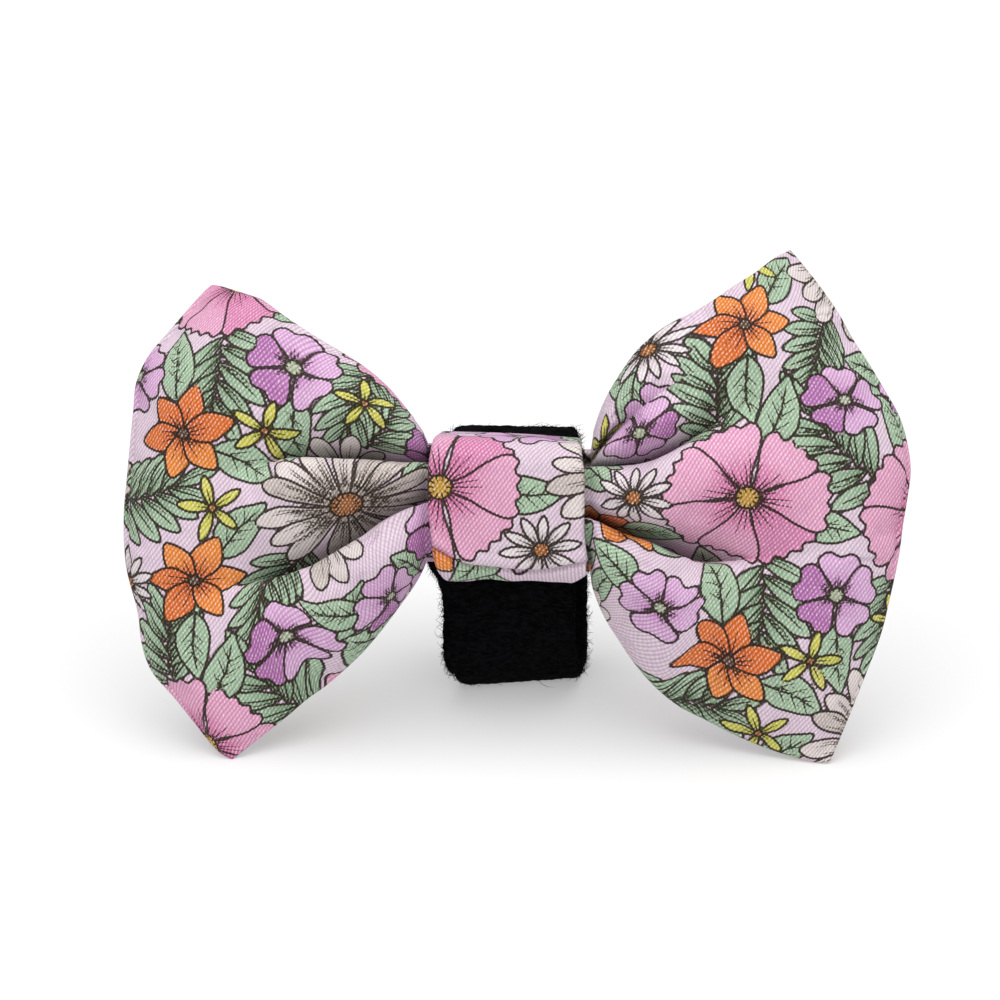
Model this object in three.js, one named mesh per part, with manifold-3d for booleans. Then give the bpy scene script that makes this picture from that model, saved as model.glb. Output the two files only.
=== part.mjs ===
// Dog bow tie: a pinched bow of printed twill, a knot band round its waist, and behind the knot a
// hook-and-loop strap that closes round a collar. Millimetres, +Z up, the bow's face looks along -Y.
// It stands as a tripod: on the lower tips of both wings, and behind them on the strap's loop.
import * as THREE from "three";
import { mergeVertices } from "three/addons/utils/BufferGeometryUtils.js";
import Module from "manifold-3d";

const wasm = await Module();
wasm.setup();

// Driving dimensions
const LEAN = THREE.MathUtils.degToRad(16); // how far the bow's face leans back onto the strap
const GAP = 0.3; // clearance between touching pieces

const CLOTH = 1.2; // wall of the sleeve: twill and its interlining
const EDGE = 0.7; // half thickness of the sleeve at its folded outer edge
const WAIST = { halfLength: 12, top: 7, bottom: -10.1, front: 5.7, back: 5.6 };
const WING_LENGTH = 45; // from the waist to the outer edge
const SLIT = { length: 10, height: 6 }; // where the sleeve's ends meet, at the back of the waist

// How the sleeve swells: the share of a wing where it is fully puffed and where the packed gathers of the
// waist have opened, how boxy its section is at the waist and in the wing, and how round its edges are.
const PUFF = { fullBy: 0.45, openBy: 0.25, waistBoxy: 5, wingBoxy: 2.4, edgeRound: 0.6, outerRound: 3 };
const CREASE_FADE = 1.2; // how fast a crease runs out
const CAVITY = { least: 0.12, rimRound: 8 }; // half of its least thickness, and how blunt its rim is

const KNOT = { width: 22.8, front: -7.7, back: 8.2, top: 8.9, bottom: -12, thick: 1.5 };
const KNOT_ROUND = { front: 4.5, back: 3.6, crown: 0.7, edge: 0.4 };

// The strap's lap, where it starts and the patch's ends are in turns of the loop. The loop's back run
// sits a little to the right of its front run: skew is the share of its depth, shift moves it whole.
const STRAP = { width: 20, thick: 2, lap: 0.2, lapStarts: 0.78, skew: 0.06, shift: -0.9 };
const PATCH = { width: 18, thick: 1, from: 0.02, to: 0.18 };
const FRONT_RUN = KNOT.back + GAP + STRAP.thick / 2; // the strap's front run lies on the knot's back

// One row for each wing, in the bow's own frame: x out from the middle, y backwards and z up.
// Each edge bends between its two corners by two pulls, the control points of a curve.
const WINGS = {
  left: {
    side: -1, frontPuff: 8.4, backPuff: 7.2,
    topTip: [43.6, 3, 30.4], topPulls: [[16, 0, 17.2], [31, 0, 26.2]],
    bottomTip: [40.1, -5.5, -38.9], bottomPulls: [[16, 0, -22.5], [28, -2, -30.5]],
    outerPulls: [[62.3, -3, -25.5], [60.4, 1, 22]],
  },
  right: {
    side: 1, frontPuff: 8.8, backPuff: 7.2,
    topTip: [41.1, 3, 36.6], topPulls: [[13.5, 0, 20.8], [26, 0, 28.2]],
    bottomTip: [47.6, -3.4, -38.3], bottomPulls: [[13.5, 0, -25], [30, -1, -36]],
    outerPulls: [[60.8, -1, -4], [65.5, 0, 9]],
  },
};

// One row for each crease that runs out from the knot, lowest first. Across the wing, 1 is the top edge
// and -1 the bottom edge. Along it, reach is the share of the wing's length where the crease has faded.
const CREASES = [
  { wing: "left", face: "front", atKnot: -0.05, atEnd: -0.42, reach: 0.85, depth: 6.2, width: 0.15 },
  { wing: "left", face: "front", atKnot: 0.58, atEnd: 0.16, reach: 0.75, depth: 5.4, width: 0.13 },
  { wing: "right", face: "front", atKnot: -0.15, atEnd: -0.37, reach: 0.8, depth: 6.2, width: 0.15 },
  { wing: "right", face: "front", atKnot: 0.58, atEnd: 0.05, reach: 0.6, depth: 5.4, width: 0.13 },
  { wing: "left", face: "back", atKnot: 0.2, atEnd: 0, reach: 0.7, depth: 2.4, width: 0.2 },
  { wing: "right", face: "back", atKnot: 0.2, atEnd: 0, reach: 0.7, depth: 2.4, width: 0.2 },
];

// The strap's loop seen from its side, in the bow's frame: the middle line of its inner turn, from the
// low end of the back run up over the top, down behind the knot and round the bottom.
const LOOP = [
  { y: 26.2, z: -17 },
  { y: 24.2, z: -7 },
  { y: 21, z: 2 },
  { y: 18.2, z: 6.4 },
  { y: 14, z: 8.8 },
  { y: 10.6, z: 7 },
  { y: FRONT_RUN, z: 3.5 },
  { y: FRONT_RUN, z: -1 },
  { y: FRONT_RUN, z: -5.5 },
  { y: FRONT_RUN, z: -9.5 },
  { y: 11.7, z: -18 },
  { y: 15.6, z: -25.5 },
  { y: 20.6, z: -29.3 },
  { y: 25.4, z: -26.4 },
];

// Facets
const OUTER_GRID = { along: 18, perLobe: 10 };
const CAVITY_GRID = { along: 10, perLobe: 6 };
const CROWDING = 1.6; // how much closer the rings lie towards the outer edges
const LOOP_STEPS = 72;

const vector = (row) => new THREE.Vector3(...row);
const smooth = (x, from, to) => THREE.MathUtils.smoothstep(x, from, to);

// The edges of a wing as curves, from the waist outwards and from the bottom tip to the top tip
function wingEdges(row) {
  const place = ([x, y, z]) => vector([row.side * x, y, z]);
  const edge = (from, pulls, to) => new THREE.CubicBezierCurve3(from, place(pulls[0]), place(pulls[1]), to);
  const topTip = place(row.topTip);
  const bottomTip = place(row.bottomTip);
  return {
    top: edge(place([WAIST.halfLength, 0, WAIST.top]), row.topPulls, topTip),
    bottom: edge(place([WAIST.halfLength, 0, WAIST.bottom]), row.bottomPulls, bottomTip),
    outer: edge(bottomTip, row.outerPulls, topTip),
    tips: new THREE.LineCurve3(bottomTip, topTip),
  };
}

// A point of the wing's middle surface: on the line between its top and bottom edges, pushed out
// towards the round outer edge
function middlePoint(edges, along, across) {
  const share = (across + 1) / 2;
  const bulge = edges.outer.getPoint(share).sub(edges.tips.getPoint(share));
  return edges.bottom.getPoint(along)
    .lerp(edges.top.getPoint(along), share)
    .addScaledVector(bulge, along);
}

// How far a face stands off the middle surface: thin at the folded edges, thickest inside the wing,
// and full at the waist, where the gathers fill the knot
function puffHeight(waistDepth, puff, along, across) {
  const swell = THREE.MathUtils.lerp(waistDepth, puff, smooth(along, 0, PUFF.fullBy));
  const boxy = THREE.MathUtils.lerp(PUFF.waistBoxy, PUFF.wingBoxy, smooth(along, 0, PUFF.openBy));
  const crown = (1 - Math.abs(across) ** boxy) ** PUFF.edgeRound;
  return (EDGE + (swell - EDGE) * Math.sqrt(1 - along ** PUFF.outerRound)) * crown;
}

const creasesOf = (name, face) => CREASES.filter((crease) => crease.wing === name && crease.face === face);
const creaseLine = ({ atKnot, atEnd, reach }, along) => atKnot + (atEnd - atKnot) * Math.min(along / reach, 1);

// How deep the creases of one face are at a point; a margin widens them for the cavity behind
function creaseDepth(name, face, along, across, margin) {
  let depth = 0;
  for (const crease of creasesOf(name, face)) {
    const left = 1 - Math.min(along / crease.reach, 1);
    const spread = (across - creaseLine(crease, along)) / (crease.width + margin);
    depth += crease.depth * left ** CREASE_FADE * Math.exp(-spread * spread);
  }
  return depth;
}

// Places across the wing, closest together at its edges and along the front creases
function acrossRows(name, along, perLobe) {
  const lines = [-1, ...creasesOf(name, "front").map((crease) => creaseLine(crease, along)), 1];
  const rows = [-1];
  for (let lobe = 0; lobe + 1 < lines.length; lobe += 1) {
    for (let i = 1; i <= perLobe; i += 1) {
      const share = (1 - Math.cos(Math.PI * i / perLobe)) / 2;
      rows.push(lines[lobe] + (lines[lobe + 1] - lines[lobe]) * share);
    }
  }
  return rows;
}

// One ring of points round the sleeve: up its front face and down its back face. For the cavity the
// ring lies a wall's thickness inside the sleeve.
function sleeveRing(name, along, perLobe, wall) {
  const row = WINGS[name];
  const edges = wingEdges(row);
  const halfHeight = edges.top.getPoint(along).distanceTo(edges.bottom.getPoint(along)) / 2;
  const margin = wall / halfHeight;
  const front = [];
  const back = [];
  for (const place of acrossRows(name, along, perLobe)) {
    const across = place * (1 - margin);
    const near = creaseDepth(name, "front", along, across, margin)
      - puffHeight(WAIST.front, row.frontPuff, along, across);
    const far = puffHeight(WAIST.back, row.backPuff, along, across)
      - creaseDepth(name, "back", along, across, margin);
    const closing = wall > 0 ? Math.sqrt(1 - place ** CAVITY.rimRound) : 1;
    const half = Math.max((far - near) / 2 - wall, CAVITY.least) * closing;
    const point = middlePoint(edges, along, across);
    point.y += (near + far) / 2;
    front.push(point.clone().setY(point.y - half));
    if (Math.abs(place) < 1) back.push(point.clone().setY(point.y + half));
  }
  return [...front, ...back.reverse()];
}

// A closed skin over a row of rings, with both end rings closed by strips from front to back
function skin(rings) {
  const size = rings[0].length;
  const positions = rings.flat().flatMap((point) => point.toArray());
  const triangles = [];
  const quad = (a, b, c, d) => triangles.push(a, b, c, a, c, d);
  for (let ring = 0; ring + 1 < rings.length; ring += 1) {
    for (let i = 0; i < size; i += 1) {
      const next = (i + 1) % size;
      quad(ring * size + i, (ring + 1) * size + i, (ring + 1) * size + next, ring * size + next);
    }
  }
  const last = (rings.length - 1) * size;
  for (let i = 0; i < size / 2; i += 1) {
    const corners = [i, i + 1, (size - i - 1) % size, (size - i) % size];
    const cap = [...new Set(corners)];
    for (let k = 1; k + 1 < cap.length; k += 1) {
      triangles.push(cap[0], cap[k], cap[k + 1]);
      triangles.push(last + cap[0], last + cap[k + 1], last + cap[k]);
    }
  }
  const geometry = new THREE.BufferGeometry();
  geometry.setAttribute("position", new THREE.Float32BufferAttribute(positions, 3));
  geometry.setIndex(triangles);
  return geometry;
}

// The whole sleeve, or the cavity inside it, from the left wing's outer edge to the right wing's
function sleeve({ along, perLobe }, wall) {
  const end = 1 - wall / WING_LENGTH;
  const shares = Array.from({ length: along + 1 }, (_, i) => end * (1 - (1 - i / along) ** CROWDING));
  const left = shares.map((share) => sleeveRing("left", share, perLobe, wall));
  const right = shares.map((share) => sleeveRing("right", share, perLobe, wall));
  return skin([...left.reverse(), ...right]);
}

function toSolid(geometry) {
  const bare = geometry.clone();
  bare.deleteAttribute("normal");
  bare.deleteAttribute("uv");
  const merged = mergeVertices(bare);
  return new wasm.Manifold(new wasm.Mesh({
    numProp: 3,
    vertProperties: new Float32Array(merged.attributes.position.array),
    triVerts: new Uint32Array(merged.index.array),
  }));
}

function toGeometry(solid) {
  const mesh = solid.getMesh();
  const geometry = new THREE.BufferGeometry();
  geometry.setAttribute("position", new THREE.BufferAttribute(mesh.vertProperties, 3));
  geometry.setIndex(new THREE.BufferAttribute(mesh.triVerts, 1));
  return geometry;
}

// The sleeve is hollow, and open only at the slit in the back of its waist
function bowGeometry() {
  const slit = new THREE.BoxGeometry(SLIT.length, WAIST.back, SLIT.height);
  slit.translate(0, WAIST.back, 0);
  const hollow = toSolid(sleeve(OUTER_GRID, 0)).subtract(toSolid(sleeve(CAVITY_GRID, CLOTH)));
  return toGeometry(hollow.subtract(toSolid(slit)));
}

// A box outline with round corners, seen along the bow's length: its front face is slightly crowned
function bandOutline(path, inset) {
  const front = KNOT.front + inset;
  const back = KNOT.back - inset;
  const top = KNOT.top - inset;
  const bottom = KNOT.bottom + inset;
  const frontRound = KNOT_ROUND.front - inset;
  const backRound = KNOT_ROUND.back - inset;
  path.moveTo(front + frontRound, bottom);
  path.lineTo(back - backRound, bottom);
  path.absarc(back - backRound, bottom + backRound, backRound, -Math.PI / 2, 0);
  path.lineTo(back, top - backRound);
  path.absarc(back - backRound, top - backRound, backRound, 0, Math.PI / 2);
  path.lineTo(front + frontRound, top);
  path.absarc(front + frontRound, top - frontRound, frontRound, Math.PI / 2, Math.PI);
  path.quadraticCurveTo(front - KNOT_ROUND.crown, (top + bottom) / 2, front, bottom + frontRound);
  path.absarc(front + frontRound, bottom + frontRound, frontRound, Math.PI, 1.5 * Math.PI);
  return path;
}

// A side outline extruded along the bow's length, centred on its middle
function acrossBow(outline, width, edge, curveSegments) {
  const geometry = new THREE.ExtrudeGeometry(outline, {
    depth: width - 2 * edge,
    curveSegments,
    bevelEnabled: edge > 0,
    bevelThickness: edge,
    bevelSize: edge,
    bevelOffset: -edge,
    bevelSegments: 1,
  });
  geometry.translate(0, 0, edge - width / 2);
  const sideOn = new THREE.Matrix4().makeBasis(vector([0, 1, 0]), vector([0, 0, 1]), vector([1, 0, 0]));
  return geometry.applyMatrix4(sideOn);
}

function knotGeometry() {
  const outline = bandOutline(new THREE.Shape(), 0);
  outline.holes.push(bandOutline(new THREE.Path(), KNOT.thick));
  return acrossBow(outline, KNOT.width, KNOT_ROUND.edge, 6);
}

// A point of the strap's loop, moved outwards from its middle line
const loop = new THREE.CatmullRomCurve3(LOOP.map(({ y, z }) => vector([0, y, z])), true);
function loopPoint(turn, outwards) {
  const place = loop.getPointAt(turn % 1);
  const run = loop.getTangentAt(turn % 1);
  return new THREE.Vector2(place.y + run.z * outwards, place.z - run.y * outwards);
}

// The outline of a strip that follows the loop from one turn to another
function stripOutline(from, to, thick, outwardsAt) {
  const steps = Math.round((to - from) * LOOP_STEPS);
  const outer = [];
  const inner = [];
  for (let i = 0; i <= steps; i += 1) {
    const turn = from + (to - from) * i / steps;
    outer.push(loopPoint(turn, outwardsAt(turn) + thick / 2));
    inner.push(loopPoint(turn, outwardsAt(turn) - thick / 2));
  }
  return new THREE.Shape([...outer, ...inner.reverse()]);
}

// The strap goes once round the loop, then its end laps over its start with the patch between them
const skewed = new THREE.Matrix4().makeShear(0, 0, STRAP.skew, 0, 0, 0).setPosition(STRAP.shift, 0, 0);
function strapGeometry() {
  const lapHeight = STRAP.thick + PATCH.thick + 2 * GAP;
  const lift = (turn) => lapHeight * smooth(turn, STRAP.lapStarts, 1);
  const outline = stripOutline(0, 1 + STRAP.lap, STRAP.thick, lift);
  return acrossBow(outline, STRAP.width, 0, 1).applyMatrix4(skewed);
}

function patchGeometry() {
  const lift = () => STRAP.thick / 2 + GAP + PATCH.thick / 2;
  const outline = stripOutline(PATCH.from, PATCH.to, PATCH.thick, lift);
  return acrossBow(outline, PATCH.width, 0, 1).applyMatrix4(skewed);
}

const twill = new THREE.MeshStandardMaterial({ color: 0xd9c2da, roughness: 0.75, metalness: 0 });
const knotTwill = new THREE.MeshStandardMaterial({ color: 0xd2b6d4, roughness: 0.75, metalness: 0 });
const loopTape = new THREE.MeshStandardMaterial({ color: 0x0c0b0d, roughness: 1, metalness: 0 });
const hookTape = new THREE.MeshStandardMaterial({ color: 0x141315, roughness: 0.6, metalness: 0 });

const PIECES = [
  { name: "bow", geometry: bowGeometry(), material: twill },
  { name: "knot_band", geometry: knotGeometry(), material: knotTwill },
  { name: "strap", geometry: strapGeometry(), material: loopTape },
  { name: "hook_patch", geometry: patchGeometry(), material: hookTape },
];

const leaning = new THREE.Group();
leaning.rotation.x = -LEAN;
for (const { name, geometry, material } of PIECES) {
  const mesh = new THREE.Mesh(geometry, material);
  mesh.name = name;
  leaning.add(mesh);
}

// The origin is under the middle of the bow tie, on the surface that it stands on
const bowTie = new THREE.Group();
bowTie.add(leaning);
bowTie.updateMatrixWorld(true);
const box = new THREE.Box3().setFromObject(leaning, true);
const middle = box.getCenter(new THREE.Vector3());
leaning.position.set(-middle.x, -middle.y, -box.min.z);
bowTie.updateMatrixWorld(true);

export default bowTie;
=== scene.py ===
# Dog bow tie: two puffed wings of printed twill, a knot band round their waist and a hook-and-loop
# strap behind the knot. Shapes are in the bow's own frame, in millimetres: x to the right, y from the
# bow's face backwards and z up. They are then leaned back and placed in the frame that the CAD uses.
import math

import bpy
import numpy as np
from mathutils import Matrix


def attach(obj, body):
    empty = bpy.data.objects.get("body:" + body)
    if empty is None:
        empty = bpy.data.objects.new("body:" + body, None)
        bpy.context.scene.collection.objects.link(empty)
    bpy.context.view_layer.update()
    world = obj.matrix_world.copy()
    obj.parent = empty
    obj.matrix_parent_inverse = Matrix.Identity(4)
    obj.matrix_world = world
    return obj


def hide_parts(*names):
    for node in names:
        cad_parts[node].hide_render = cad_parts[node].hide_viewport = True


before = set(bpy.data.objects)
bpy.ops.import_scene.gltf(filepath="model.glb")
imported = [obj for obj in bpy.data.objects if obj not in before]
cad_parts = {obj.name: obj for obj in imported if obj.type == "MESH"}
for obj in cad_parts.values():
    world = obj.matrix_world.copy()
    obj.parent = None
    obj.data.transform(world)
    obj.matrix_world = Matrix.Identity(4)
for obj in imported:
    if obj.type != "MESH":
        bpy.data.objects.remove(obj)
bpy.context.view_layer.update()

MM = 0.001
LEAN = math.radians(16)
PLACE = np.array([-0.99, -5.021, 35.879])  # the bow's own frame in the shared one
GAP = 0.3  # between pieces that touch
FLOOR_GAP = 0.03  # how far the lowest points stay above the floor
TINY = 1e-9  # keeps divisions away from zero

# The sleeve is close to the part's, with a little less puff, because the cloth simulation adds some
FACES = ("front", "back")
EDGE = 0.7
WAIST = {"half_length": 12, "top": 7, "bottom": -10.1, "front": 5.7, "back": 5.6}
PUFF = {"full_by": 0.45, "open_by": 0.25, "waist_boxy": 5, "wing_boxy": 2.4, "edge_round": 0.6,
        "outer_round": 3}
WINGS = {
    "left": {
        "side": -1, "front_puff": 7.8, "back_puff": 7.2,
        "top_tip": (43.2, 3, 31.9), "top_pulls": ((16, 0, 17.2), (31, 0, 26.2)),
        "bottom_tip": (40.1, -5.5, -38.9), "bottom_pulls": ((16, 0, -22.5), (28, -2, -30.5)),
        "outer_pulls": ((62.3, -3, -25.5), (60.4, 1, 22)),
        "blunt": {"tip": "top_tip", "way": (-0.25, 0.97), "cut": 1.6},
    },
    "right": {
        "side": 1, "front_puff": 8.2, "back_puff": 7.2,
        "top_tip": (41.1, 3, 36.6), "top_pulls": ((13.5, 0, 20.8), (26, 0, 28.2)),
        "bottom_tip": (47.6, -3.4, -38.3), "bottom_pulls": ((13.5, 0, -25), (30, -1, -36)),
        "outer_pulls": ((60.8, -1, -4), (65.5, 0, 9)),
        "blunt": {"tip": "bottom_tip", "way": (0.3, -0.95), "cut": 0.4},
    },
}
BLUNTNESS = 0.9  # how much of a blunt corner is pressed flat

# How far the sewn edges wander from those curves: up at the top and bottom edges over x, and out at the
# outer edge over z
WANDER = {
    "left": {
        "top": [(12, 0.8), (15, 0.45), (18, 0.5), (21, 0.25), (24, -0.2), (27, -0.7), (30, -1.05),
                (34, -1.2), (38, -0.7), (42, -0.4), (60, 0)],
        "bottom": [(12, 0.4), (15.5, 1.5), (18.4, 1.4), (21.4, 1), (27, 1.1), (30, 1.6), (33, 1.45),
                   (36, 1), (40, 0), (60, 0)],
        "outer": [(-39, 0), (-33.4, -1.4), (-29.6, -1), (-25.8, 0.4), (-22, 0.25), (-18, -0.5),
                  (-11, -0.1), (-3, -0.3), (2, -0.58), (8.3, -0.4), (12, 0), (16, 0.7), (19.7, 0.4),
                  (23.5, -0.8), (27.2, -1.35), (31, -0.9), (34, -0.5)],
    },
    "right": {
        "top": [(12, 0.3), (15.4, 0.5), (18.3, 1), (21.2, 0.8), (24, 0.25), (27, -0.5), (30, -0.7),
                (33, -0.45), (36, -0.3), (39, 0.3), (42, 0.1), (60, 0)],
        "bottom": [(12, 0.4), (14, 0.6), (16.5, 0.7), (19.5, 0.1), (23, -0.3), (26, -0.25), (29, 0.15),
                   (34, 0.15), (40, 0), (60, 0)],
        "outer": [(-39, 0), (-33, -0.15), (-25, -0.3), (-18, -0.35), (-14, -0.7), (-7, -1), (-2.8, -1.1),
                  (1, -0.7), (4.8, -0.1), (9, 0), (12.4, -0.1), (16.2, -0.8), (20, -1.2), (23.7, -1.4),
                  (27.5, -0.9), (31.3, -0.6), (36, -0.4)],
    },
}
WANDER_FROM = {"top": (0.1, 1), "bottom": (0.1, 1), "outer": (0.4, 1)}  # where it begins and is full

# Folds that run out from the knot, lowest first, over x from the bow's middle, in millimetres. The line is
# the crisp upper edge of the lobe below, below and above are the widths of the fold's two flanks, tuck is
# how much of the depth goes down behind the lobe below, and open is how far the upper flank lies open.
FOLDS = {
    "left": [
        {"line": [(12, -0.3), (17, -2.3), (22.7, -6.1), (29.9, -10.5), (35.5, -12.8), (41, -14.8), (60, -19)],
         "depth": [(12, 9), (16, 12), (24, 11.5), (31, 7), (38, 3), (45, 0.8), (52, 0), (60, 0)],
         "below": [(12, 1.1), (24, 1.5), (36, 3), (60, 7)],
         "above": [(12, 3.6), (17, 6), (24, 8), (34, 9), (60, 12)], "tuck": 0.5, "open": 0.65},
        {"line": [(12, 5.4), (22.7, 5.9), (32.4, 5.2), (36.5, 3.4), (45, 0), (60, -2)],
         "depth": [(12, 5.5), (16, 9), (24, 8.6), (31, 5.2), (36, 2), (42, 0.4), (48, 0), (60, 0)],
         "below": [(12, 0.9), (24, 1.3), (34, 2.4), (60, 6)],
         "above": [(12, 1.6), (17, 4.6), (24, 6), (34, 7), (60, 9)], "tuck": 0.36, "open": 0.4},
    ],
    "right": [
        {"line": [(12, -2.2), (17.2, -4.1), (21, -5.3), (24, -6.7), (27, -8.1), (34, -10.4), (60, -15)],
         "depth": [(12, 9), (16, 12), (21, 13.6), (25, 12), (29, 8.5), (34, 4), (40, 1.2), (47, 0), (60, 0)],
         "below": [(12, 1.1), (20, 1.3), (26, 2), (34, 5), (60, 9)],
         "above": [(12, 1.8), (18, 2.8), (23, 4.4), (30, 6), (60, 8)], "tuck": 0.4, "open": 0.8},
        {"line": [(12, 5.2), (19.4, 6), (25.2, 8), (31, 10.4), (60, 20)],
         "depth": [(12, 6), (16, 9), (21, 8.4), (26, 5), (32, 1.6), (39, 0), (60, 0)],
         "below": [(12, 0.9), (20, 1.3), (28, 3), (60, 6)],
         "above": [(12, 1.4), (17, 4.4), (24, 5.6), (60, 9)], "tuck": 0.36, "open": 0.4},
        {"line": [(12, 5.9), (15.2, 9.6), (19, 12.4), (60, 30)],
         "depth": [(12, 2), (13.5, 2.6), (16, 1.5), (19, 0.4), (23, 0), (60, 0)],
         "below": [(12, 0.7), (16, 1.2), (60, 4)],
         "above": [(12, 0.8), (16, 2), (60, 4)], "tuck": 0.3, "open": 0},
    ],
}
BACK_FOLDS = [
    {"line": [(12, 0.2), (30, 0.4), (60, 0)],
     "depth": [(12, 2.6), (20, 2.6), (32, 1), (42, 0), (60, 0)],
     "below": [(12, 2.4), (30, 7), (60, 11)],
     "above": [(12, 2.4), (30, 7), (60, 11)], "tuck": 0, "open": 0},
]
# The section of a fold: the power of an open flank, the width and power of a soft fold, the depths from and
# past which it is crisp, and how far its bottom lies above the line, as a share of its lower flank
FOLD_FORM = {"open": 1.6, "soft": (1.5, 1.7), "crisp": (1, 4.5), "bottom": 0.75}
LOBE_ROLL = [(0, 0.1), (0.06, 1.5), (0.16, 3.1), (0.32, 2.5), (0.55, 0.8), (0.75, 0), (1, 0)]
# Soft unevenness of the cloth: height, turns for each millimetre along x and z, and phase. It is closer on
# the back, and calm at the outer edge and the waist.
RIPPLES = [
    {"height": 0.32, "x": 0.031, "z": 0.043, "phase": 0.6},
    {"height": 0.24, "x": -0.052, "z": 0.036, "phase": 2.1},
    {"height": 0.13, "x": 0.088, "z": 0.061, "phase": 4.0},
    {"height": 0.07, "x": -0.12, "z": 0.14, "phase": 1.3},
]
BACK_RIPPLES = 1.7
CALM_EDGE = 0.15
CALM_WAIST = (0, 0.2)
# Points of a wing: along it, in each lobe across it, in the waist and round the rim. The crowds say how
# close they come at the outer edge and at the folds, whose rows are found among samples and evened.
WING_GRID = {"along": 182, "lobes": {"left": (92, 76, 92), "right": (92, 76, 26, 66)}, "waist": 4, "rim": 3,
             "middle": 0.15, "edge_crowd": 1.25, "fold_crowd": 0.62, "samples": 601, "even": 20}
# The flat cloth: how much the headings of the front and back are evened, where along the wing it keeps
# their slope, and where the lobes are one cloth again
FLAT = {"front": 400, "back": 4000, "slope": (0.2, 0.7), "joined": (0.45, 0.72)}

# The wings' short cloth simulation, on every few rows and columns of their grid. A unit is this many
# millimetres, points are held where a fold is deeper than hold_from and let go between the depths of
# folds, and the cap is how far a point may move.
CLOTH = {"rows": 5, "columns": 5, "unit": 100, "frames": 20, "hold_from": 0.8, "folds": (0.2, 1.6),
         "cap": 2.2}
CLOTH_SETTINGS = {
    "quality": 6, "mass": 0.2, "tension_stiffness": 15, "compression_stiffness": 15, "shear_stiffness": 5,
    "bending_stiffness": 0.3, "use_pressure": True, "uniform_pressure_force": 8, "shrink_min": -0.01,
    "vertex_group_mass": "held",
}

# The knot band seen along the bow, and its side edges: x over the height on its front
KNOT = {"front": -7.7, "back": 8.2, "top": 8.9, "bottom": -12, "thick": 1.5, "width": 22.8}
KNOT_ROUND = {"front": 4.5, "back": 3.6, "crown": 0.35, "edge": 0.7}
KNOT_SIDES = {
    "left": [(-12, -9.3), (-10.2, -10.2), (-8.3, -10.6), (-5, -11), (0, -11.5), (5, -11.5), (8.9, -11.1)],
    "right": [(-12, 10.1), (-10.2, 12.2), (-8.3, 11.9), (-5, 11.4), (0, 11.3), (5, 11.2), (8.9, 10.7)],
}
KNOT_BACK = {"half_width": 10.6, "fades": (-6, 4)}
# The crease along the lower front, where the cloth turns under, and the wave of the top: z over x
KNOT_LIP = [(-12, -6.2), (-9.8, -7.2), (-6.5, -9.2), (-0.9, -10.1), (4.9, -10.3), (9.9, -9.2), (12.5, -8.4)]
KNOT_WAVE = [(-11.5, 0.1), (-6, 0.3), (0, 0.3), (5, 0), (9, -0.4), (11.5, -0.7)]
KNOT_WAVE_FROM = (3, 8)
# The relief of the band's outside: the depth, place and width of the crease and of the swell above it, how
# far the edges stand off and the middle is tight, and pulls in the cloth, as two waves across and up it
KNOT_RELIEF = {"lip": ((0.8, 0, 0.4), (-0.2, 1.2, 0.9)), "edges": 0.28, "tight": 0.12}
KNOT_PULLS = {"height": 0.15, "across": (7.8, 1.5), "up": (0.16, 0.21)}
KNOT_PRINT = {"face": (75, 65), "strip": (23.6, -13.1), "turn": -0.7}
KNOT_GRID = {"around": 330, "across": 130, "edge": 5, "inside": 8, "arc": 40, "face": 80}

# The strap and its loop, in y and z. Its back run sits to the right of its front run: skew is the share of
# its depth, and shift moves it whole. Rough is the height of its pile.
STRAP = {"width": 20, "thick": 2, "lap": 0.2, "lap_starts": 0.78, "skew": 0.09, "shift": -1.2, "rough": 0.12}
PATCH = {"width": 18, "thick": 1, "from": 0.02, "to": 0.18, "rough": 0.05}
FRONT_RUN = KNOT["back"] + GAP + STRAP["thick"] / 2
LOOP = [
    (26.2, -17), (24.2, -7), (21, 2), (18.2, 6.4), (14, 8.8), (10.6, 7), (FRONT_RUN, 3.5),
    (FRONT_RUN, -1), (FRONT_RUN, -5.5), (FRONT_RUN, -9.5), (11.7, -18), (15.6, -25.5), (20.6, -29.3),
    (25.4, -26.4),
]
LOOP_GRID = {"between": 60, "slope": 0.002}
# The tape's edges: their greatest radius, how far in from the side they are rough, and by how much. The
# side wanders in two waves of height, pace and phase, and a cut end is rounded over so many rows.
TAPE = {"edge": 0.95, "rough_from": 1, "rough": 0.14, "waves": ((0.1, 23, 0), (0.06, 57, 1)), "in": 0.1,
        "end": 2.5, "end_thick": 0.25, "seed": 5}
# How the soft tape settles: the bulge to the left over z, the turn back and the rise of the loop's bottom
# for each millimetre of x, the height of the bottom, the side and radius of each lower corner, and how far
# the top sinks, its corners sink and they draw in. The spans say where each begins and is full.
SETTLE = {
    "bulge": [(-30, 0), (-18, 0), (-15, 0.35), (-13.3, 0.95), (-12, 1.8), (-11, 2.2), (-10, 2.3), (-8.5, 2),
              (-6, 1.2), (-3, 0.3), (0, 0), (9, 0)],
    "twist": 0.2, "tilt": 0.055, "bottom": -30.4, "corners": ((-1, 4), (1, 1)),
    "sink": 0.4, "left": {"sink": 0.5, "in": 0.8}, "right": {"sink": 0.4, "in": 0.4},
}
SETTLE_SPANS = {"low": (19, 29), "high": (4, 8.5), "left": (6, 10.4), "right": (8, 10.4),
                "bulge_side": (6, 10), "bulge_front": (-13, -11)}
STRAP_GRID = {"along": 340, "across": 58, "edge": 7}
PATCH_GRID = {"along": 90, "across": 60, "edge": 5}
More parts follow.
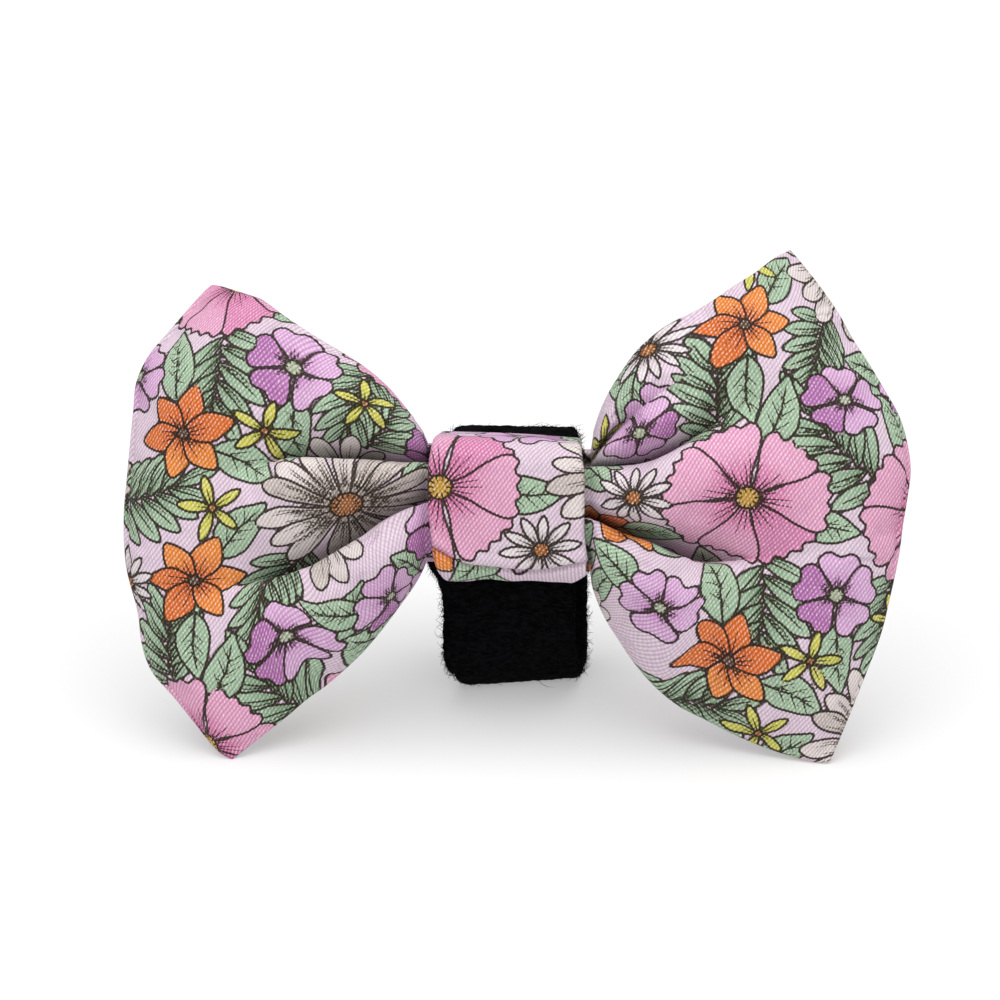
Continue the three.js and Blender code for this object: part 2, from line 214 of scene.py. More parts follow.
FIBRES = {"count": 6800, "at_edges": 0.5, "length": (0.5, 1.7), "rise": (0.12, 0.5), "curl": 0.6,
          "radius": 0.034, "root": 0.12, "side_lean": 1.2, "side_from": 0.6,
          "bends": (0, 0.34, 0.68, 1), "taper": (1, 1, 0.8, 0.3), "arch": (1.5, 0.9), "seed": 3}
STRAYS = {"count": 110, "length": (1.8, 3.2), "rise": (0.4, 0.8)}


def srgb(red, green, blue):
    """A screen colour, 0 to 255, as linear light."""
    share = np.array([red, green, blue]) / 255
    return np.where(share <= 0.04045, share / 12.92, ((share + 0.055) / 1.055) ** 2.4)


def smooth(x, start, end):
    """A soft step from 0 at start to 1 at end."""
    share = np.clip((x - start) / (end - start), 0, 1)
    return share * share * (3 - 2 * share)


def through(rows, x):
    """A smooth curve's values at x, through rows of place and value."""
    at, value = np.array(rows, float).T
    slope = np.gradient(value, at)
    x = np.clip(x, at[0], at[-1])
    i = np.clip(np.searchsorted(at, x) - 1, 0, len(at) - 2)
    step = at[i + 1] - at[i]
    s = (x - at[i]) / step
    rise = value[i + 1] - value[i]
    return (value[i] + rise * s * s * (3 - 2 * s)
            + step * s * (1 - s) * (slope[i] * (1 - s) - slope[i + 1] * s))


def eased(rows, times):
    """Rows of values evened out along their first axis, with the ends kept."""
    rows = np.array(rows, float)
    for _ in range(times):
        rows[1:-1] = (rows[:-2] + 2 * rows[1:-1] + rows[2:]) / 4
    return rows


def unit(vectors):
    return vectors / np.maximum(np.linalg.norm(vectors, axis=-1, keepdims=True), TINY)


def right_of(ways):
    """The directions to the right of ways in a plane."""
    return unit(np.stack([ways[..., 1], -ways[..., 0]], -1))


def steps(path):
    """The lengths of a path's pieces."""
    return np.linalg.norm(np.diff(path, axis=0), axis=1)


def run_along(path):
    return np.concatenate([[0], np.cumsum(steps(path))])


def to_frame(points):
    """Points of the bow's own frame, in millimetres, as metres in the shared frame."""
    x, y, z = np.moveaxis(np.asarray(points, float), -1, 0)
    c, s = math.cos(LEAN), math.sin(LEAN)
    return (np.stack([x, c * y + s * z, c * z - s * y], -1) + PLACE) * MM


def above_floor(points):
    """Points of the bow's frame, with those under the floor lifted onto it."""
    height = to_frame(points)[..., 2] / MM
    points = points.copy()
    points[..., 2] += np.maximum(FLOOR_GAP - height, 0) / math.cos(LEAN)
    return points


def link(name, data):
    thing = bpy.data.objects.new(name, data)
    bpy.context.scene.collection.objects.link(thing)
    return thing


def make_mesh(name, points, faces, material):
    """A smooth mesh from points in the bow's frame and faces of three or four corners."""
    mesh = bpy.data.meshes.new(name)
    corners = np.concatenate([np.asarray(f).ravel() for f in faces])
    sizes = np.concatenate([np.full(len(f), f.shape[1]) for f in faces])
    mesh.vertices.add(len(points))
    mesh.vertices.foreach_set("co", to_frame(points).astype(np.float32).ravel())
    mesh.loops.add(len(corners))
    mesh.loops.foreach_set("vertex_index", corners.astype(np.int32))
    mesh.polygons.add(len(sizes))
    mesh.polygons.foreach_set("loop_start", (np.cumsum(sizes) - sizes).astype(np.int32))
    mesh.update(calc_edges=True)
    mesh.validate()
    mesh.polygons.foreach_set("use_smooth", np.ones(len(sizes), bool))
    mesh.materials.append(material)
    return link(name, mesh)


def grid(rows, cols):
    """The point numbers of a grid."""
    return np.arange(rows * cols).reshape(rows, cols)


def wrapped(values, rows, cols):
    """A grid with this many of its first rows and columns repeated at its end."""
    return np.pad(values, [(0, rows), (0, cols)] + [(0, 0)] * (values.ndim - 2), "wrap")


def grid_quads(index, flip=False):
    """The quads of a grid of point numbers."""
    quads = np.stack([index[:-1, :-1], index[:-1, 1:], index[1:, 1:], index[1:, :-1]], -1).reshape(-1, 4)
    return quads[:, ::-1] if flip else quads


# The print: flowers and leaves in flat colours with ink lines, drawn on the flat cloth in millimetres

INK_LINE = 0.19  # half the width of an outline
FAR = 1.0  # distances from lines are kept up to this
NO_VEIN = -0.2  # half a vein's width where there is none
VEIN_TAPER = (0, 0.8, 1)  # places along a vein, the last one past its tip
VEIN_TIP = -0.15
FILL_FADES = (0.05, 0.7)
CODES = 7  # for petals and leaves that touch, in three bits
TILE = np.array([84.0, 72.0])  # the repeat, which drops by half its height from one column to the next
MARGIN = 30  # how far past the cloth the repeat is looked at
GROUND = srgb(234, 212, 228)
SAGE = srgb(173, 205, 170)
DARK_SAGE = srgb(123, 158, 121)
OCHRE = srgb(170, 100, 24)
# Half outlines of petals and leaves of length 1: place along, and half width
OUTLINES = {
    "heart": [(0, 0.03), (0.2, 0.16), (0.45, 0.37), (0.7, 0.51), (0.88, 0.46), (0.99, 0.26), (0.9, 0)],
    "toothed": [(0, 0.05), (0.25, 0.16), (0.55, 0.35), (0.82, 0.45), (0.97, 0.36), (0.92, 0.22), (1, 0.12),
                (0.94, 0)],
    "lance": [(0, 0.03), (0.25, 0.13), (0.55, 0.17), (0.82, 0.12), (1, 0)],
    "blade": [(0, 0.03), (0.3, 0.09), (0.65, 0.15), (0.88, 0.12), (1, 0)],
    "pointed": [(0, 0.05), (0.2, 0.2), (0.48, 0.3), (0.78, 0.2), (1, 0)],
    "ovate": [(0, 0.01), (0.14, 0.17), (0.36, 0.26), (0.66, 0.21), (0.88, 0.09), (1, 0)],
}
# What a flower has unless its row says otherwise: how many places a petal is past the last, how far it turns
# and stretches, the share of petals with a deep tip, where their veins start, half the width of these there
# and at their tips, how uneven their lengths are, and how they spread out at first and half way
PETALS = {"past": 1, "wobble": 0.09, "stretch": (0.9, 1.04), "deep_share": 0.25, "vein_from": 0.02,
          "vein_ink": (0.14, 0.05), "vein_uneven": 0.26, "vein_pace": 3.1, "vein_bend": (0.3, 0.7)}
# Asters, cosmos, lilies, primroses, daisies and stars, from the largest flower to the smallest
FLOWERS = [
    {"count": 2, "radius": 14.5, "petals": 15, "past": 2, "outline": "blade", "start": 0.12,
     "base": srgb(166, 154, 142), "tip": srgb(238, 228, 223), "deep": srgb(210, 199, 191),
     "veins": 5, "vein_reach": 0.95, "vein_spread": 0.1, "vein_from": 0.16, "vein_ink": (0.1, 0.05),
     "eye": 2.5, "eye_colour": OCHRE, "stamens": 14, "leaves": 1, "sprigs": 2},
    {"count": 2, "radius": 12.5, "petals": 7, "outline": "toothed", "start": 0.1,
     "base": srgb(218, 112, 166), "tip": srgb(240, 172, 206), "deep": srgb(228, 140, 186),
     "veins": 5, "vein_reach": 0.6, "vein_spread": 0.22,
     "eye": 1.8, "eye_colour": srgb(206, 160, 52), "stamens": 10, "leaves": 2, "sprigs": 2},
    {"count": 4, "radius": 7.6, "petals": 6, "outline": "pointed", "start": 0.02,
     "base": srgb(214, 92, 14), "tip": srgb(246, 144, 46), "deep": srgb(230, 114, 24),
     "veins": 3, "vein_reach": 0.72, "vein_spread": 0.12,
     "eye": 0.9, "eye_colour": srgb(92, 62, 40), "stamens": 0, "leaves": 2, "sprigs": 0},
    {"count": 8, "radius": 6.6, "petals": 5, "outline": "heart", "start": 0.06,
     "base": srgb(204, 140, 198), "tip": srgb(228, 181, 224), "deep": srgb(186, 114, 180),
     "veins": 7, "vein_reach": 0.5, "vein_spread": 0.26,
     "eye": 1.1, "eye_colour": srgb(176, 186, 156), "stamens": 6, "leaves": 1, "sprigs": 0},
    {"count": 3, "radius": 6, "petals": 10, "outline": "lance", "start": 0.18,
     "base": srgb(212, 201, 202), "tip": srgb(243, 234, 236), "deep": srgb(231, 222, 224),
     "veins": 1, "vein_reach": 0.7, "vein_spread": 0,
     "eye": 1.2, "eye_colour": OCHRE, "stamens": 5, "leaves": 1, "sprigs": 0},
    {"count": 5, "radius": 5.2, "petals": 5, "outline": "lance", "start": 0.04,
     "base": srgb(190, 190, 54), "tip": srgb(222, 220, 92), "deep": srgb(204, 204, 70),
     "veins": 1, "vein_reach": 0.75, "vein_spread": 0,
     "eye": 0.6, "eye_colour": OCHRE, "stamens": 0, "leaves": 0, "sprigs": 0},
]
EYE = {"points": 20, "stamen_from": 0.42, "stamen_ink": (0.14, 0.1)}
# A leaf of length 1, with a rib and pairs of side veins, and a sprig of leaflets, whose stems start further
# out and whose angles close towards its tip
LEAF = {"length": 10.5, "reach": 1.1, "bend": 0.06, "base": SAGE * 0.88, "rib_ink": (0.22, 0.14),
        "rib": ((0, 0), (0.5, 1), (0.98, 0)), "veins_at": (0.26, 0.44, 0.62), "vein_ink": (0.11, 0.06),
        "vein": ((0, 0), (0.1, 0.09), (0.22, 0.19))}
SPRIG = {"length": 20, "reach": 1.2, "leaflets": 11, "leaflet": 8.5, "bend": 0.5, "tip": SAGE * 0.93,
         "stems": (0.1, 0.62), "angles": (0.95, 0.35), "longest_at": 0.35, "shorter": 0.3}
LEAFLET_VEINS = [(((-0.1, 0), (0.5, 0.02), (0.92, 0)), (0.17, 0.1)),
                 (((0.1, 0.05), (0.4, 0.1), (0.72, 0.08)), (0.1, 0.06))]
# How the repeat is laid out: the spots tried for a flower and for a leaf, a flower's reach and tilt, the
# least angle between its leaves, where they start under it, how far out room is sought, in radii of the
# flower and lengths of the leaf, and the disc that stands for one
LAYOUT = {"seed": 11, "flower_tries": 300, "leaf_tries": 24, "reach": 1.15, "tilt": 0.78, "apart": 0.7,
          "root": 0.62, "room": (0.7, 0.6), "disc": 0.3, "sizes": (0.85, 1.15)}


def turn(points, angle):
    c, s = math.cos(angle), math.sin(angle)
    return np.asarray(points, float) @ np.array([[c, s], [-s, c]])


def ray(angle):
    return np.array([math.cos(angle), math.sin(angle)])


def repeats(columns, rows):
    """Where the repeat lies in these columns and rows of it."""
    return np.array([(i * TILE[0], j * TILE[1] + i % 2 * TILE[1] / 2) for i in columns for j in rows])


def clearance(spot, radius, placed):
    """The least gap between a disc and the placed ones, over the whole repeat."""
    if not placed:
        return 0.0
    middles = np.array([p["at"] for p in placed]) + repeats(range(-1, 2), range(-2, 3))[:, None]
    away = np.linalg.norm(middles - spot, axis=-1).min(0)
    return float((away - [p["radius"] for p in placed]).min() - radius)


def chart():
    """The repeat: flowers where there is most room, on sprigs and leaves that reach out from under them."""
    draw = np.random.default_rng(LAYOUT["seed"])
    flowers, greens = [], []
    for kind in FLOWERS:
        for _ in range(kind["count"]):
            spots = draw.random((LAYOUT["flower_tries"], 2)) * TILE
            best = max(spots, key=lambda spot: clearance(spot, kind["radius"], flowers))
            flowers.append({"at": best, "radius": kind["radius"], "root": best, "form": "flower",
                            "reach": kind["radius"] * LAYOUT["reach"], "kind": kind, "seed": len(flowers),
                            "turn": draw.random() * math.tau, "tilt": draw.uniform(LAYOUT["tilt"], 1),
                            "tilt_turn": draw.random() * math.pi})
    for form, size in (("sprigs", SPRIG), ("leaves", LEAF)):
        length, disc = size["length"], size["length"] * LAYOUT["disc"]
        in_radii, in_lengths = LAYOUT["room"]
        for flower in flowers:
            others = [f for f in flowers if f is not flower] + greens
            taken = []
            for _ in range(flower["kind"][form]):
                angles = draw.random(LAYOUT["leaf_tries"]) * math.tau
                free = [a for a in angles
                        if all(abs(math.remainder(a - t, math.tau)) > LAYOUT["apart"] for t in taken)]
                tip = flower["radius"] * in_radii + length * in_lengths
                angle = max(free, key=lambda a: clearance(flower["at"] + tip * ray(a), disc, others))
                taken.append(angle)
                root = flower["at"] + flower["radius"] * LAYOUT["root"] * ray(angle)
                grown = length * draw.uniform(*LAYOUT["sizes"])
                greens.append({"at": root + length / 2 * ray(angle), "radius": disc, "root": root,
                               "reach": grown * size["reach"], "form": form, "turn": angle, "length": grown,
                               "bend": draw.choice([-1, 1])})
    return greens + flowers


def smooth_outline(name, between=4):
    """A closed outline of length 1 along x, from its half table."""
    half = np.array(OUTLINES[name], float)
    ring = np.concatenate([half, half[-2::-1] * [1, -1]])
    a, b, c, d = (np.roll(ring, k, 0)[:, None] for k in (1, 0, -1, -2))
    s = (np.arange(between) / between)[None, :, None]
    curve = 2 * b + (c - a) * s + (2 * a - 5 * b + 4 * c - d) * s ** 2 + (3 * b - a - 3 * c + d) * s ** 3
    return 0.5 * curve.reshape(-1, 2)


def away_from(points, path):
    """The distance of points from a path, with a sign for its side, and the nearest place on it as a share of
    its pieces."""
    start, run = path[:-1], np.diff(path, axis=0)
    along = points[:, None] - start
    share = np.clip((along * run).sum(-1) / np.maximum((run * run).sum(-1), TINY), 0, 1)
    gaps = np.linalg.norm(along - share[..., None] * run, axis=-1)
    nearest = gaps.argmin(1)
    rows = np.arange(len(points))
    gap, place = gaps[rows, nearest], (nearest + share[rows, nearest]) / len(start)
    side, way = along[rows, nearest], run[nearest]
    return np.where(way[:, 0] * side[:, 1] < way[:, 1] * side[:, 0], -gap, gap), place


def inside_of(points, ring):
    x, y = points[:, :1], points[:, 1:]
    ax, ay = ring.T
    bx, by = np.roll(ring, -1, 0).T
    rise = np.where(by == ay, TINY, by - ay)
    crossed = ((ay <= y) != (by <= y)) & (x < ax + (y - ay) / rise * (bx - ax))
    return crossed.sum(1) % 2 == 1


class Print:
    """What is printed at a set of points of the cloth: the fill's colour, the distance from the nearest
    outline, a code for the petal or leaf on top, and the signed distance from its nearest vein with half that
    vein's width. The lines are found from signed distances, so they stay thin and even between the points."""

    def __init__(self, points):
        self.points = points
        self.fill = np.tile(GROUND, (len(points), 1))
        self.edge = np.full(len(points), FAR)
        self.code = np.zeros(len(points), int)
        self.vein = np.full(len(points), FAR)
        self.width = np.full(len(points), NO_VEIN)
        self.patches = 0

    def near(self, middle, reach):
        return np.flatnonzero((np.abs(self.points - middle) < reach).all(1))

    def patch(self, where, ring, base, tip, veins=()):
        """One petal or leaf: its fill from base to tip along its first axis, its outline and its veins."""
        self.patches += 1
        points = self.points[where]
        close = ((points > ring.min(0) - FAR) & (points < ring.max(0) + FAR)).all(1)
        where, points = where[close], points[close]
        if not len(where):
            return
        gap = np.abs(away_from(points, np.concatenate([ring, ring[:1]]))[0])
        inside = inside_of(points, ring)
        self.edge[where] = np.minimum(np.where(inside, FAR, self.edge[where]), gap)
        where, points = where[inside], points[inside]
        root, axis = ring[0], ring[len(ring) // 2] - ring[0]
        share = np.clip((points - root) @ axis / (axis ** 2).sum(), 0, 1)[:, None]
        self.fill[where] = base + (tip - base) * smooth(share, *FILL_FADES)
        self.code[where] = 1 + self.patches % CODES
        vein, width = np.full(len(where), FAR), np.full(len(where), NO_VEIN)
        for number, (path, (start, end)) in enumerate(veins):
            away, place = away_from(points, path)
            half = np.interp(place, VEIN_TAPER, (start, end, VEIN_TIP))
            nearer = np.abs(away) - half < np.abs(vein) - width
            vein[nearer] = (away if number % 2 else -away)[nearer]
            width[nearer] = half[nearer]
        self.vein[where], self.width[where] = np.clip(vein, -FAR, FAR), width


def draw_flower(cloth, where, spot, middle):
    kind = {**PETALS, **spot["kind"]}
    draw = np.random.default_rng(spot["seed"])
    flat = turn(np.diag([1, spot["tilt"]]) @ turn(np.eye(2), -spot["tilt_turn"]), spot["tilt_turn"])
    outline = smooth_outline(kind["outline"])
    fan = np.linspace(-1, 1, kind["veins"]) if kind["veins"] > 1 else [0.0]
    first, halfway = kind["vein_bend"]
    for i in range(kind["petals"]):
        angle = spot["turn"] + i * kind["past"] % kind["petals"] * math.tau / kind["petals"]
        angle += draw.uniform(-kind["wobble"], kind["wobble"])
        length = kind["radius"] * draw.uniform(*kind["stretch"]) * (1 - kind["start"])
        deep = draw.random() > 1 - kind["deep_share"]

        def place(points):
            moved = np.asarray(points) * length + [kind["radius"] * kind["start"], 0]
            return turn(moved, angle) @ flat + middle

        veins = []
        for lean in fan:
            short = kind["vein_uneven"] * (1 - math.cos(kind["vein_pace"] * lean + i))
            reach, out = kind["vein_reach"] * (1 - short), kind["vein_spread"] * lean
            path = [(kind["vein_from"], out * first), (reach / 2, out * halfway), (reach, out)]
            veins.append((place(path), kind["vein_ink"]))
        cloth.patch(where, place(outline), kind["base"], kind["deep" if deep else "tip"], veins)

    def eye(count):
        angles = np.linspace(0, math.tau, count, endpoint=False)
        return kind["eye"] * np.stack([np.cos(angles), np.sin(angles)], -1) @ flat

    veins = [(np.array([tip, tip * EYE["stamen_from"]]) + middle, EYE["stamen_ink"])
             for tip in eye(kind["stamens"])]
    cloth.patch(where, eye(EYE["points"]) + middle, kind["eye_colour"], kind["eye_colour"], veins)


def draw_leaf(cloth, where, spot, root):
    def place(points):
        return turn(np.asarray(points) * spot["length"], spot["turn"]) + root

    ring = smooth_outline("ovate")
    bow = spot["bend"] * LEAF["bend"]
    ring[:, 1] += bow * np.sin(np.pi * np.clip(ring[:, 0], 0, 1))
    veins = [(place([(x, y * bow) for x, y in LEAF["rib"]]), LEAF["rib_ink"])]
    for at in LEAF["veins_at"]:
        for side in (-1, 1):
            path = [(at + x, side * y + bow) for x, y in LEAF["vein"]]
            veins.append((place(path), LEAF["vein_ink"]))
    cloth.patch(where, place(ring), LEAF["base"], SAGE, veins)


def draw_sprig(cloth, where, spot, root):
    outline = smooth_outline("lance")
    size = spot["length"] / SPRIG["length"]
    last = SPRIG["leaflets"] - 1
    (first_stem, stems), (wide, closing) = SPRIG["stems"], SPRIG["angles"]
    for i in range(SPRIG["leaflets"]):
        share = i / last
        swing = spot["bend"] * SPRIG["bend"] * share
        side = 0 if i == last else (-1 if i % 2 else 1)
        stem = turn((spot["length"] * (first_stem + stems * share), 0), spot["turn"] + swing / 2)
        angle = spot["turn"] + swing + side * (wide - closing * share)
        length = SPRIG["leaflet"] * size * (1 - SPRIG["shorter"] * abs(share - SPRIG["longest_at"]))

        def place(points):
            return turn(np.asarray(points) * length, angle) + stem + root

        veins = [(place(path), ink) for path, ink in LEAFLET_VEINS]
        cloth.patch(where, place(outline), DARK_SAGE, SPRIG["tip"], veins)


def printed(points):
    """The fill and ink of the print at points of the flat cloth."""
    cloth = Print(points)
    low, high = (points.min(0) - MARGIN) // TILE, (points.max(0) + MARGIN) // TILE
    shifts = repeats(range(int(low[0]), int(high[0]) + 1), range(int(low[1]) - 1, int(high[1]) + 1))
    paints = {"sprigs": draw_sprig, "leaves": draw_leaf, "flower": draw_flower}
    for spot in chart():
        for shift in shifts:
            where = cloth.near(spot["root"] + shift, spot["reach"])
            if len(where):
                paints[spot["form"]](cloth, where, spot, spot["root"] + shift)
    return cloth


def lay_print(piece, cloth_points, corner_points):
    """Stores the print and the place on the flat cloth at each corner of a piece's faces."""
    cloth = printed(cloth_points)
    blank = np.zeros(len(cloth_points))
    signs = 1 - 2 * (cloth.code[:, None] >> np.arange(3) & 1)
    layers = {
        "fill": ("FLOAT_COLOR", "color", np.column_stack([cloth.fill, blank + 1])),
        "edges": ("FLOAT_VECTOR", "vector", signs * cloth.edge[:, None]),
        "veins": ("FLOAT_VECTOR", "vector", np.column_stack([cloth.vein, cloth.width, blank])),
        "cloth": ("FLOAT_VECTOR", "vector", np.column_stack([cloth_points, blank])),
    }
    for name, (kind, field, values) in layers.items():
        layer = piece.data.attributes.new(name, kind, "CORNER")
        layer.data.foreach_set(field, values[corner_points].astype(np.float32).ravel())


# Materials

class Shader:
    """A material's nodes, with short calls for the ones used here."""

    def __init__(self, name):
        self.material = bpy.data.materials.new(name)
        self.material.use_nodes = True
        self.nodes = self.material.node_tree.nodes
        self.links = self.material.node_tree.links
        self.surface = self.nodes["Principled BSDF"]

    def put(self, socket, value):
        if isinstance(value, bpy.types.NodeSocket):
            self.links.new(value, socket)
        else:
            socket.default_value = value

    def add(self, kind, inputs=(), **settings):
        node = self.nodes.new(kind)
        for key, value in settings.items():
            setattr(node, key, value)
        for key, value in dict(inputs).items():
            self.put(node.inputs[key], value)
        return node

    def math(self, operation, *values):
        return self.add("ShaderNodeMath", enumerate(values), operation=operation).outputs[0]

    def sway(self, value, middle, size, base=0.0):
        """A base that moves by a size for each unit that a value is past its middle."""
        return self.math("MULTIPLY_ADD", self.math("SUBTRACT", value, middle), size, base)

    def wave(self, turns):
        """A wave from 0 to 1 that is highest at whole turns."""
        cosine = self.math("COSINE", self.math("MULTIPLY", turns, math.tau))
        return self.math("MULTIPLY_ADD", cosine, 0.5, 0.5)

    def mix(self, share, first, second, blend="MIX"):
        node = self.add("ShaderNodeMix", data_type="RGBA", blend_type=blend)
        for key, value in ((0, share), (6, first), (7, second)):
            self.put(node.inputs[key], value)
        return node.outputs[2]

    def ramp(self, value, low, high, to_low=0.0, to_high=1.0):
        ends = {"Value": value, "From Min": low, "From Max": high, "To Min": to_low, "To Max": to_high}
        return self.add("ShaderNodeMapRange", ends, interpolation_type="SMOOTHSTEP").outputs[0]

    def attribute(self, name, output):
        return self.add("ShaderNodeAttribute", attribute_name=name).outputs[output]

    def split(self, vector):
        return tuple(self.add("ShaderNodeSeparateXYZ", {0: vector}).outputs)

    def noise(self, vector, scale, detail=2.0):
        return self.add("ShaderNodeTexNoise", {"Vector": vector, "Scale": scale, "Detail": detail}).outputs[0]

    def bump(self, height, strength, distance):
        inputs = {"Height": height, "Strength": strength, "Distance": distance}
        return self.add("ShaderNodeBump", inputs).outputs[0]

    def set(self, **values):
        for key, value in values.items():
            self.put(self.surface.inputs[key.replace("_", " ")], value)


# The weave, in millimetres: the way of its rows, their distance, the length of a float, how far the floats of
# a row are past those of the last, the scale and size of what makes rows and floats uneven, the height left
# between floats, and the relief
TWILL = {"turn": math.radians(53), "wale": 0.545, "float": 0.587, "stagger": 0.62, "wander": (0.35, 0.5),
         "jitter": (1.3, 1.5), "uneven": 2.6, "low": 0.2, "relief": 0.12 * MM}
# The ink, the width over which it fades on each side of a line, and how the weave and its unevenness move it
INK = {"colour": (0.016, 0.010, 0.005, 1), "share": 0.97, "fades": 0.08, "weave": (0.35, 0.08),
       "uneven": (0.5, 0.12)}
# Faded stretches of the fills, the floats' paler bare thread with a painted highlight on it, and painted
# shade in the hollows between the floats
FADED = {"colour": (0.62, 0.5, 0.6, 1), "scale": 0.6, "from": (0.3, 0.75), "share": 0.16}
BARE_THREAD_AND_HIGHLIGHT = {"on_fill": (0.97, 0.91, 0.91, 1), "on_ink": (0.8, 0.52, 0.28, 1), "power": 1.8,
         "from": (0.32, 0.68), "shares": (0.16, 0.84), "inked": 0.86}
# painted shade in the hollows between the floats: its colour, the float height below which it begins, and its
# strength
PAINTED_SHADE_BETWEEN = {"colour": (0.4, 0.32, 0.38, 1), "below": 0.3, "share": 0.46}


def twill_material(name, shade):
    """Woven twill with the print on it: raised floats in slanting rows, with a painted highlight on them that
    is partly their paler bare thread, and painted shade between them.
    """
    m = Shader(name)
    place = m.attribute("cloth", "Vector")
    x, y, _ = m.split(place)
    wander, jitter = (m.sway(m.noise(place, scale), 0.5, size)
                      for scale, size in (TWILL["wander"], TWILL["jitter"]))
    c, s = math.cos(TWILL["turn"]), math.sin(TWILL["turn"])
    wale, run = TWILL["wale"], TWILL["float"]
    rows = m.math("MULTIPLY_ADD", x, s / wale, m.math("MULTIPLY_ADD", y, -c / wale, wander))
    along = m.math("MULTIPLY_ADD", x, c / run, m.math("MULTIPLY_ADD", y, s / run, jitter))
    along = m.math("MULTIPLY_ADD", rows, TWILL["stagger"], along)
    floats = m.math("MULTIPLY_ADD", m.wave(along), 1 - TWILL["low"], TWILL["low"])
    raised = m.math("MULTIPLY", m.wave(rows), floats)
    uneven = m.noise(place, TWILL["uneven"])
    outlines = [m.math("ABSOLUTE", part) for part in m.split(m.attribute("edges", "Vector"))]
    nearest = m.math("MINIMUM", m.math("MINIMUM", *outlines[:2]), outlines[2])
    vein, width, _ = m.split(m.attribute("veins", "Vector"))
    in_vein = m.math("SUBTRACT", m.math("ABSOLUTE", vein), width)
    ink = m.math("MINIMUM", m.math("SUBTRACT", nearest, INK_LINE), in_vein)
    ink = m.sway(uneven, *INK["uneven"], m.sway(raised, *INK["weave"], ink))
    inked = m.ramp(ink, INK["fades"], -INK["fades"], 0.0, INK["share"])
    faded = m.ramp(m.noise(place, FADED["scale"]), *FADED["from"], 0.0, FADED["share"])
    fill = m.mix(faded, m.attribute("fill", "Color"), FADED["colour"], "MULTIPLY")
    colour = m.mix(inked, fill, INK["colour"])
    # painted highlight on the raised floats, partly their paler bare thread, weaker where the ink covers them
    bare_and_highlight = m.ramp(uneven, *BARE_THREAD_AND_HIGHLIGHT["from"], *BARE_THREAD_AND_HIGHLIGHT["shares"])
    bare_and_highlight = m.math("MULTIPLY", m.math("POWER", raised, BARE_THREAD_AND_HIGHLIGHT["power"]), bare_and_highlight)
    bare_and_highlight = m.math("MULTIPLY", bare_and_highlight, m.math("MULTIPLY_ADD", inked, -BARE_THREAD_AND_HIGHLIGHT["inked"], 1.0))
    colour = m.mix(bare_and_highlight, colour, m.mix(inked, BARE_THREAD_AND_HIGHLIGHT["on_fill"], BARE_THREAD_AND_HIGHLIGHT["on_ink"]))
    # painted shade in the hollows between the floats, darkest where a float is lowest
    between = m.ramp(raised, PAINTED_SHADE_BETWEEN["below"], 0.0, 0.0, PAINTED_SHADE_BETWEEN["share"])
    colour = m.mix(between, colour, PAINTED_SHADE_BETWEEN["colour"], "MULTIPLY")
    colour = m.mix(1.0, colour, (shade, shade, shade, 1), "MULTIPLY")
    m.set(Base_Color=colour, Roughness=0.62, Specular_IOR_Level=0.16, Sheen_Weight=0.04, Sheen_Roughness=0.5,
          Normal=m.bump(raised, 0.5, TWILL["relief"]))
    return m.material


# The tape's nap: how it is drawn out along the tape, its detail, the scale and weight of larger patches, how
# much brighter its tips are and where they begin, the depth of its tufts, and the relief
NAP = {"stretch": (0.45, 1, 1), "detail": 5.0, "patches": (0.2, 0.4), "bright": 5, "tips": (0.5, 0.92),
       "tufts": -0.6, "relief": 0.25 * MM}


def tape_material(name, colour, scale):
    """Black brushed pile: dull, with a fine nap that lies along the tape."""
    m = Shader(name)
    place = m.add("ShaderNodeTexCoord").outputs["Object"]
    place = m.add("ShaderNodeMapping", {"Vector": place, "Scale": NAP["stretch"]}).outputs[0]
    nap = m.noise(place, scale, NAP["detail"])
    wide, weight = NAP["patches"]
    tips = m.ramp(m.math("MULTIPLY_ADD", m.noise(place, scale * wide), weight, nap), *NAP["tips"])
    tone = m.mix(tips, (*colour, 1), (*(NAP["bright"] * c for c in colour), 1))
    tufts = m.add("ShaderNodeTexVoronoi", {"Vector": place, "Scale": scale}).outputs["Distance"]
    m.set(Base_Color=tone, Roughness=0.95, Specular_IOR_Level=0.03,
          Normal=m.bump(m.math("MULTIPLY_ADD", tufts, NAP["tufts"], nap), 0.8, NAP["relief"]))
    return m.material


# The wings

def bezier(points, share):
    a, b, c, d = (np.array(p, float) for p in points)
    s = np.asarray(share)[..., None]
    r = 1 - s
    return a * r ** 3 + b * 3 * r * r * s + c * 3 * r * s * s + d * s ** 3


def wing_edges(row):
    def from_waist(edge):
        root = (WAIST["half_length"], 0, WAIST[edge])
        return (root, *row[edge + "_pulls"], row[edge + "_tip"])

    return {"top": from_waist("top"), "bottom": from_waist("bottom"),
            "outer": (row["bottom_tip"], *row["outer_pulls"], row["top_tip"])}


def middle_surface(name, along, across):
    """Points half way between the faces of a wing."""
    row, wander = WINGS[name], WANDER[name]
    edges = wing_edges(row)
    share = (across + 1) / 2
    s = share[..., None]
    tips = np.array(row["bottom_tip"]) * (1 - s) + np.array(row["top_tip"]) * s
    straight = bezier(edges["bottom"], along) * (1 - s) + bezier(edges["top"], along) * s
    points = straight + along[..., None] * (bezier(edges["outer"], share) - tips)
    x, z = points[..., 0].copy(), points[..., 2].copy()
    points[..., 2] += through(wander["top"], x) * smooth(across, *WANDER_FROM["top"])
    points[..., 2] += through(wander["bottom"], x) * smooth(-across, *WANDER_FROM["bottom"])
    points[..., 0] += through(wander["outer"], z) * smooth(along, *WANDER_FROM["outer"])
    return points


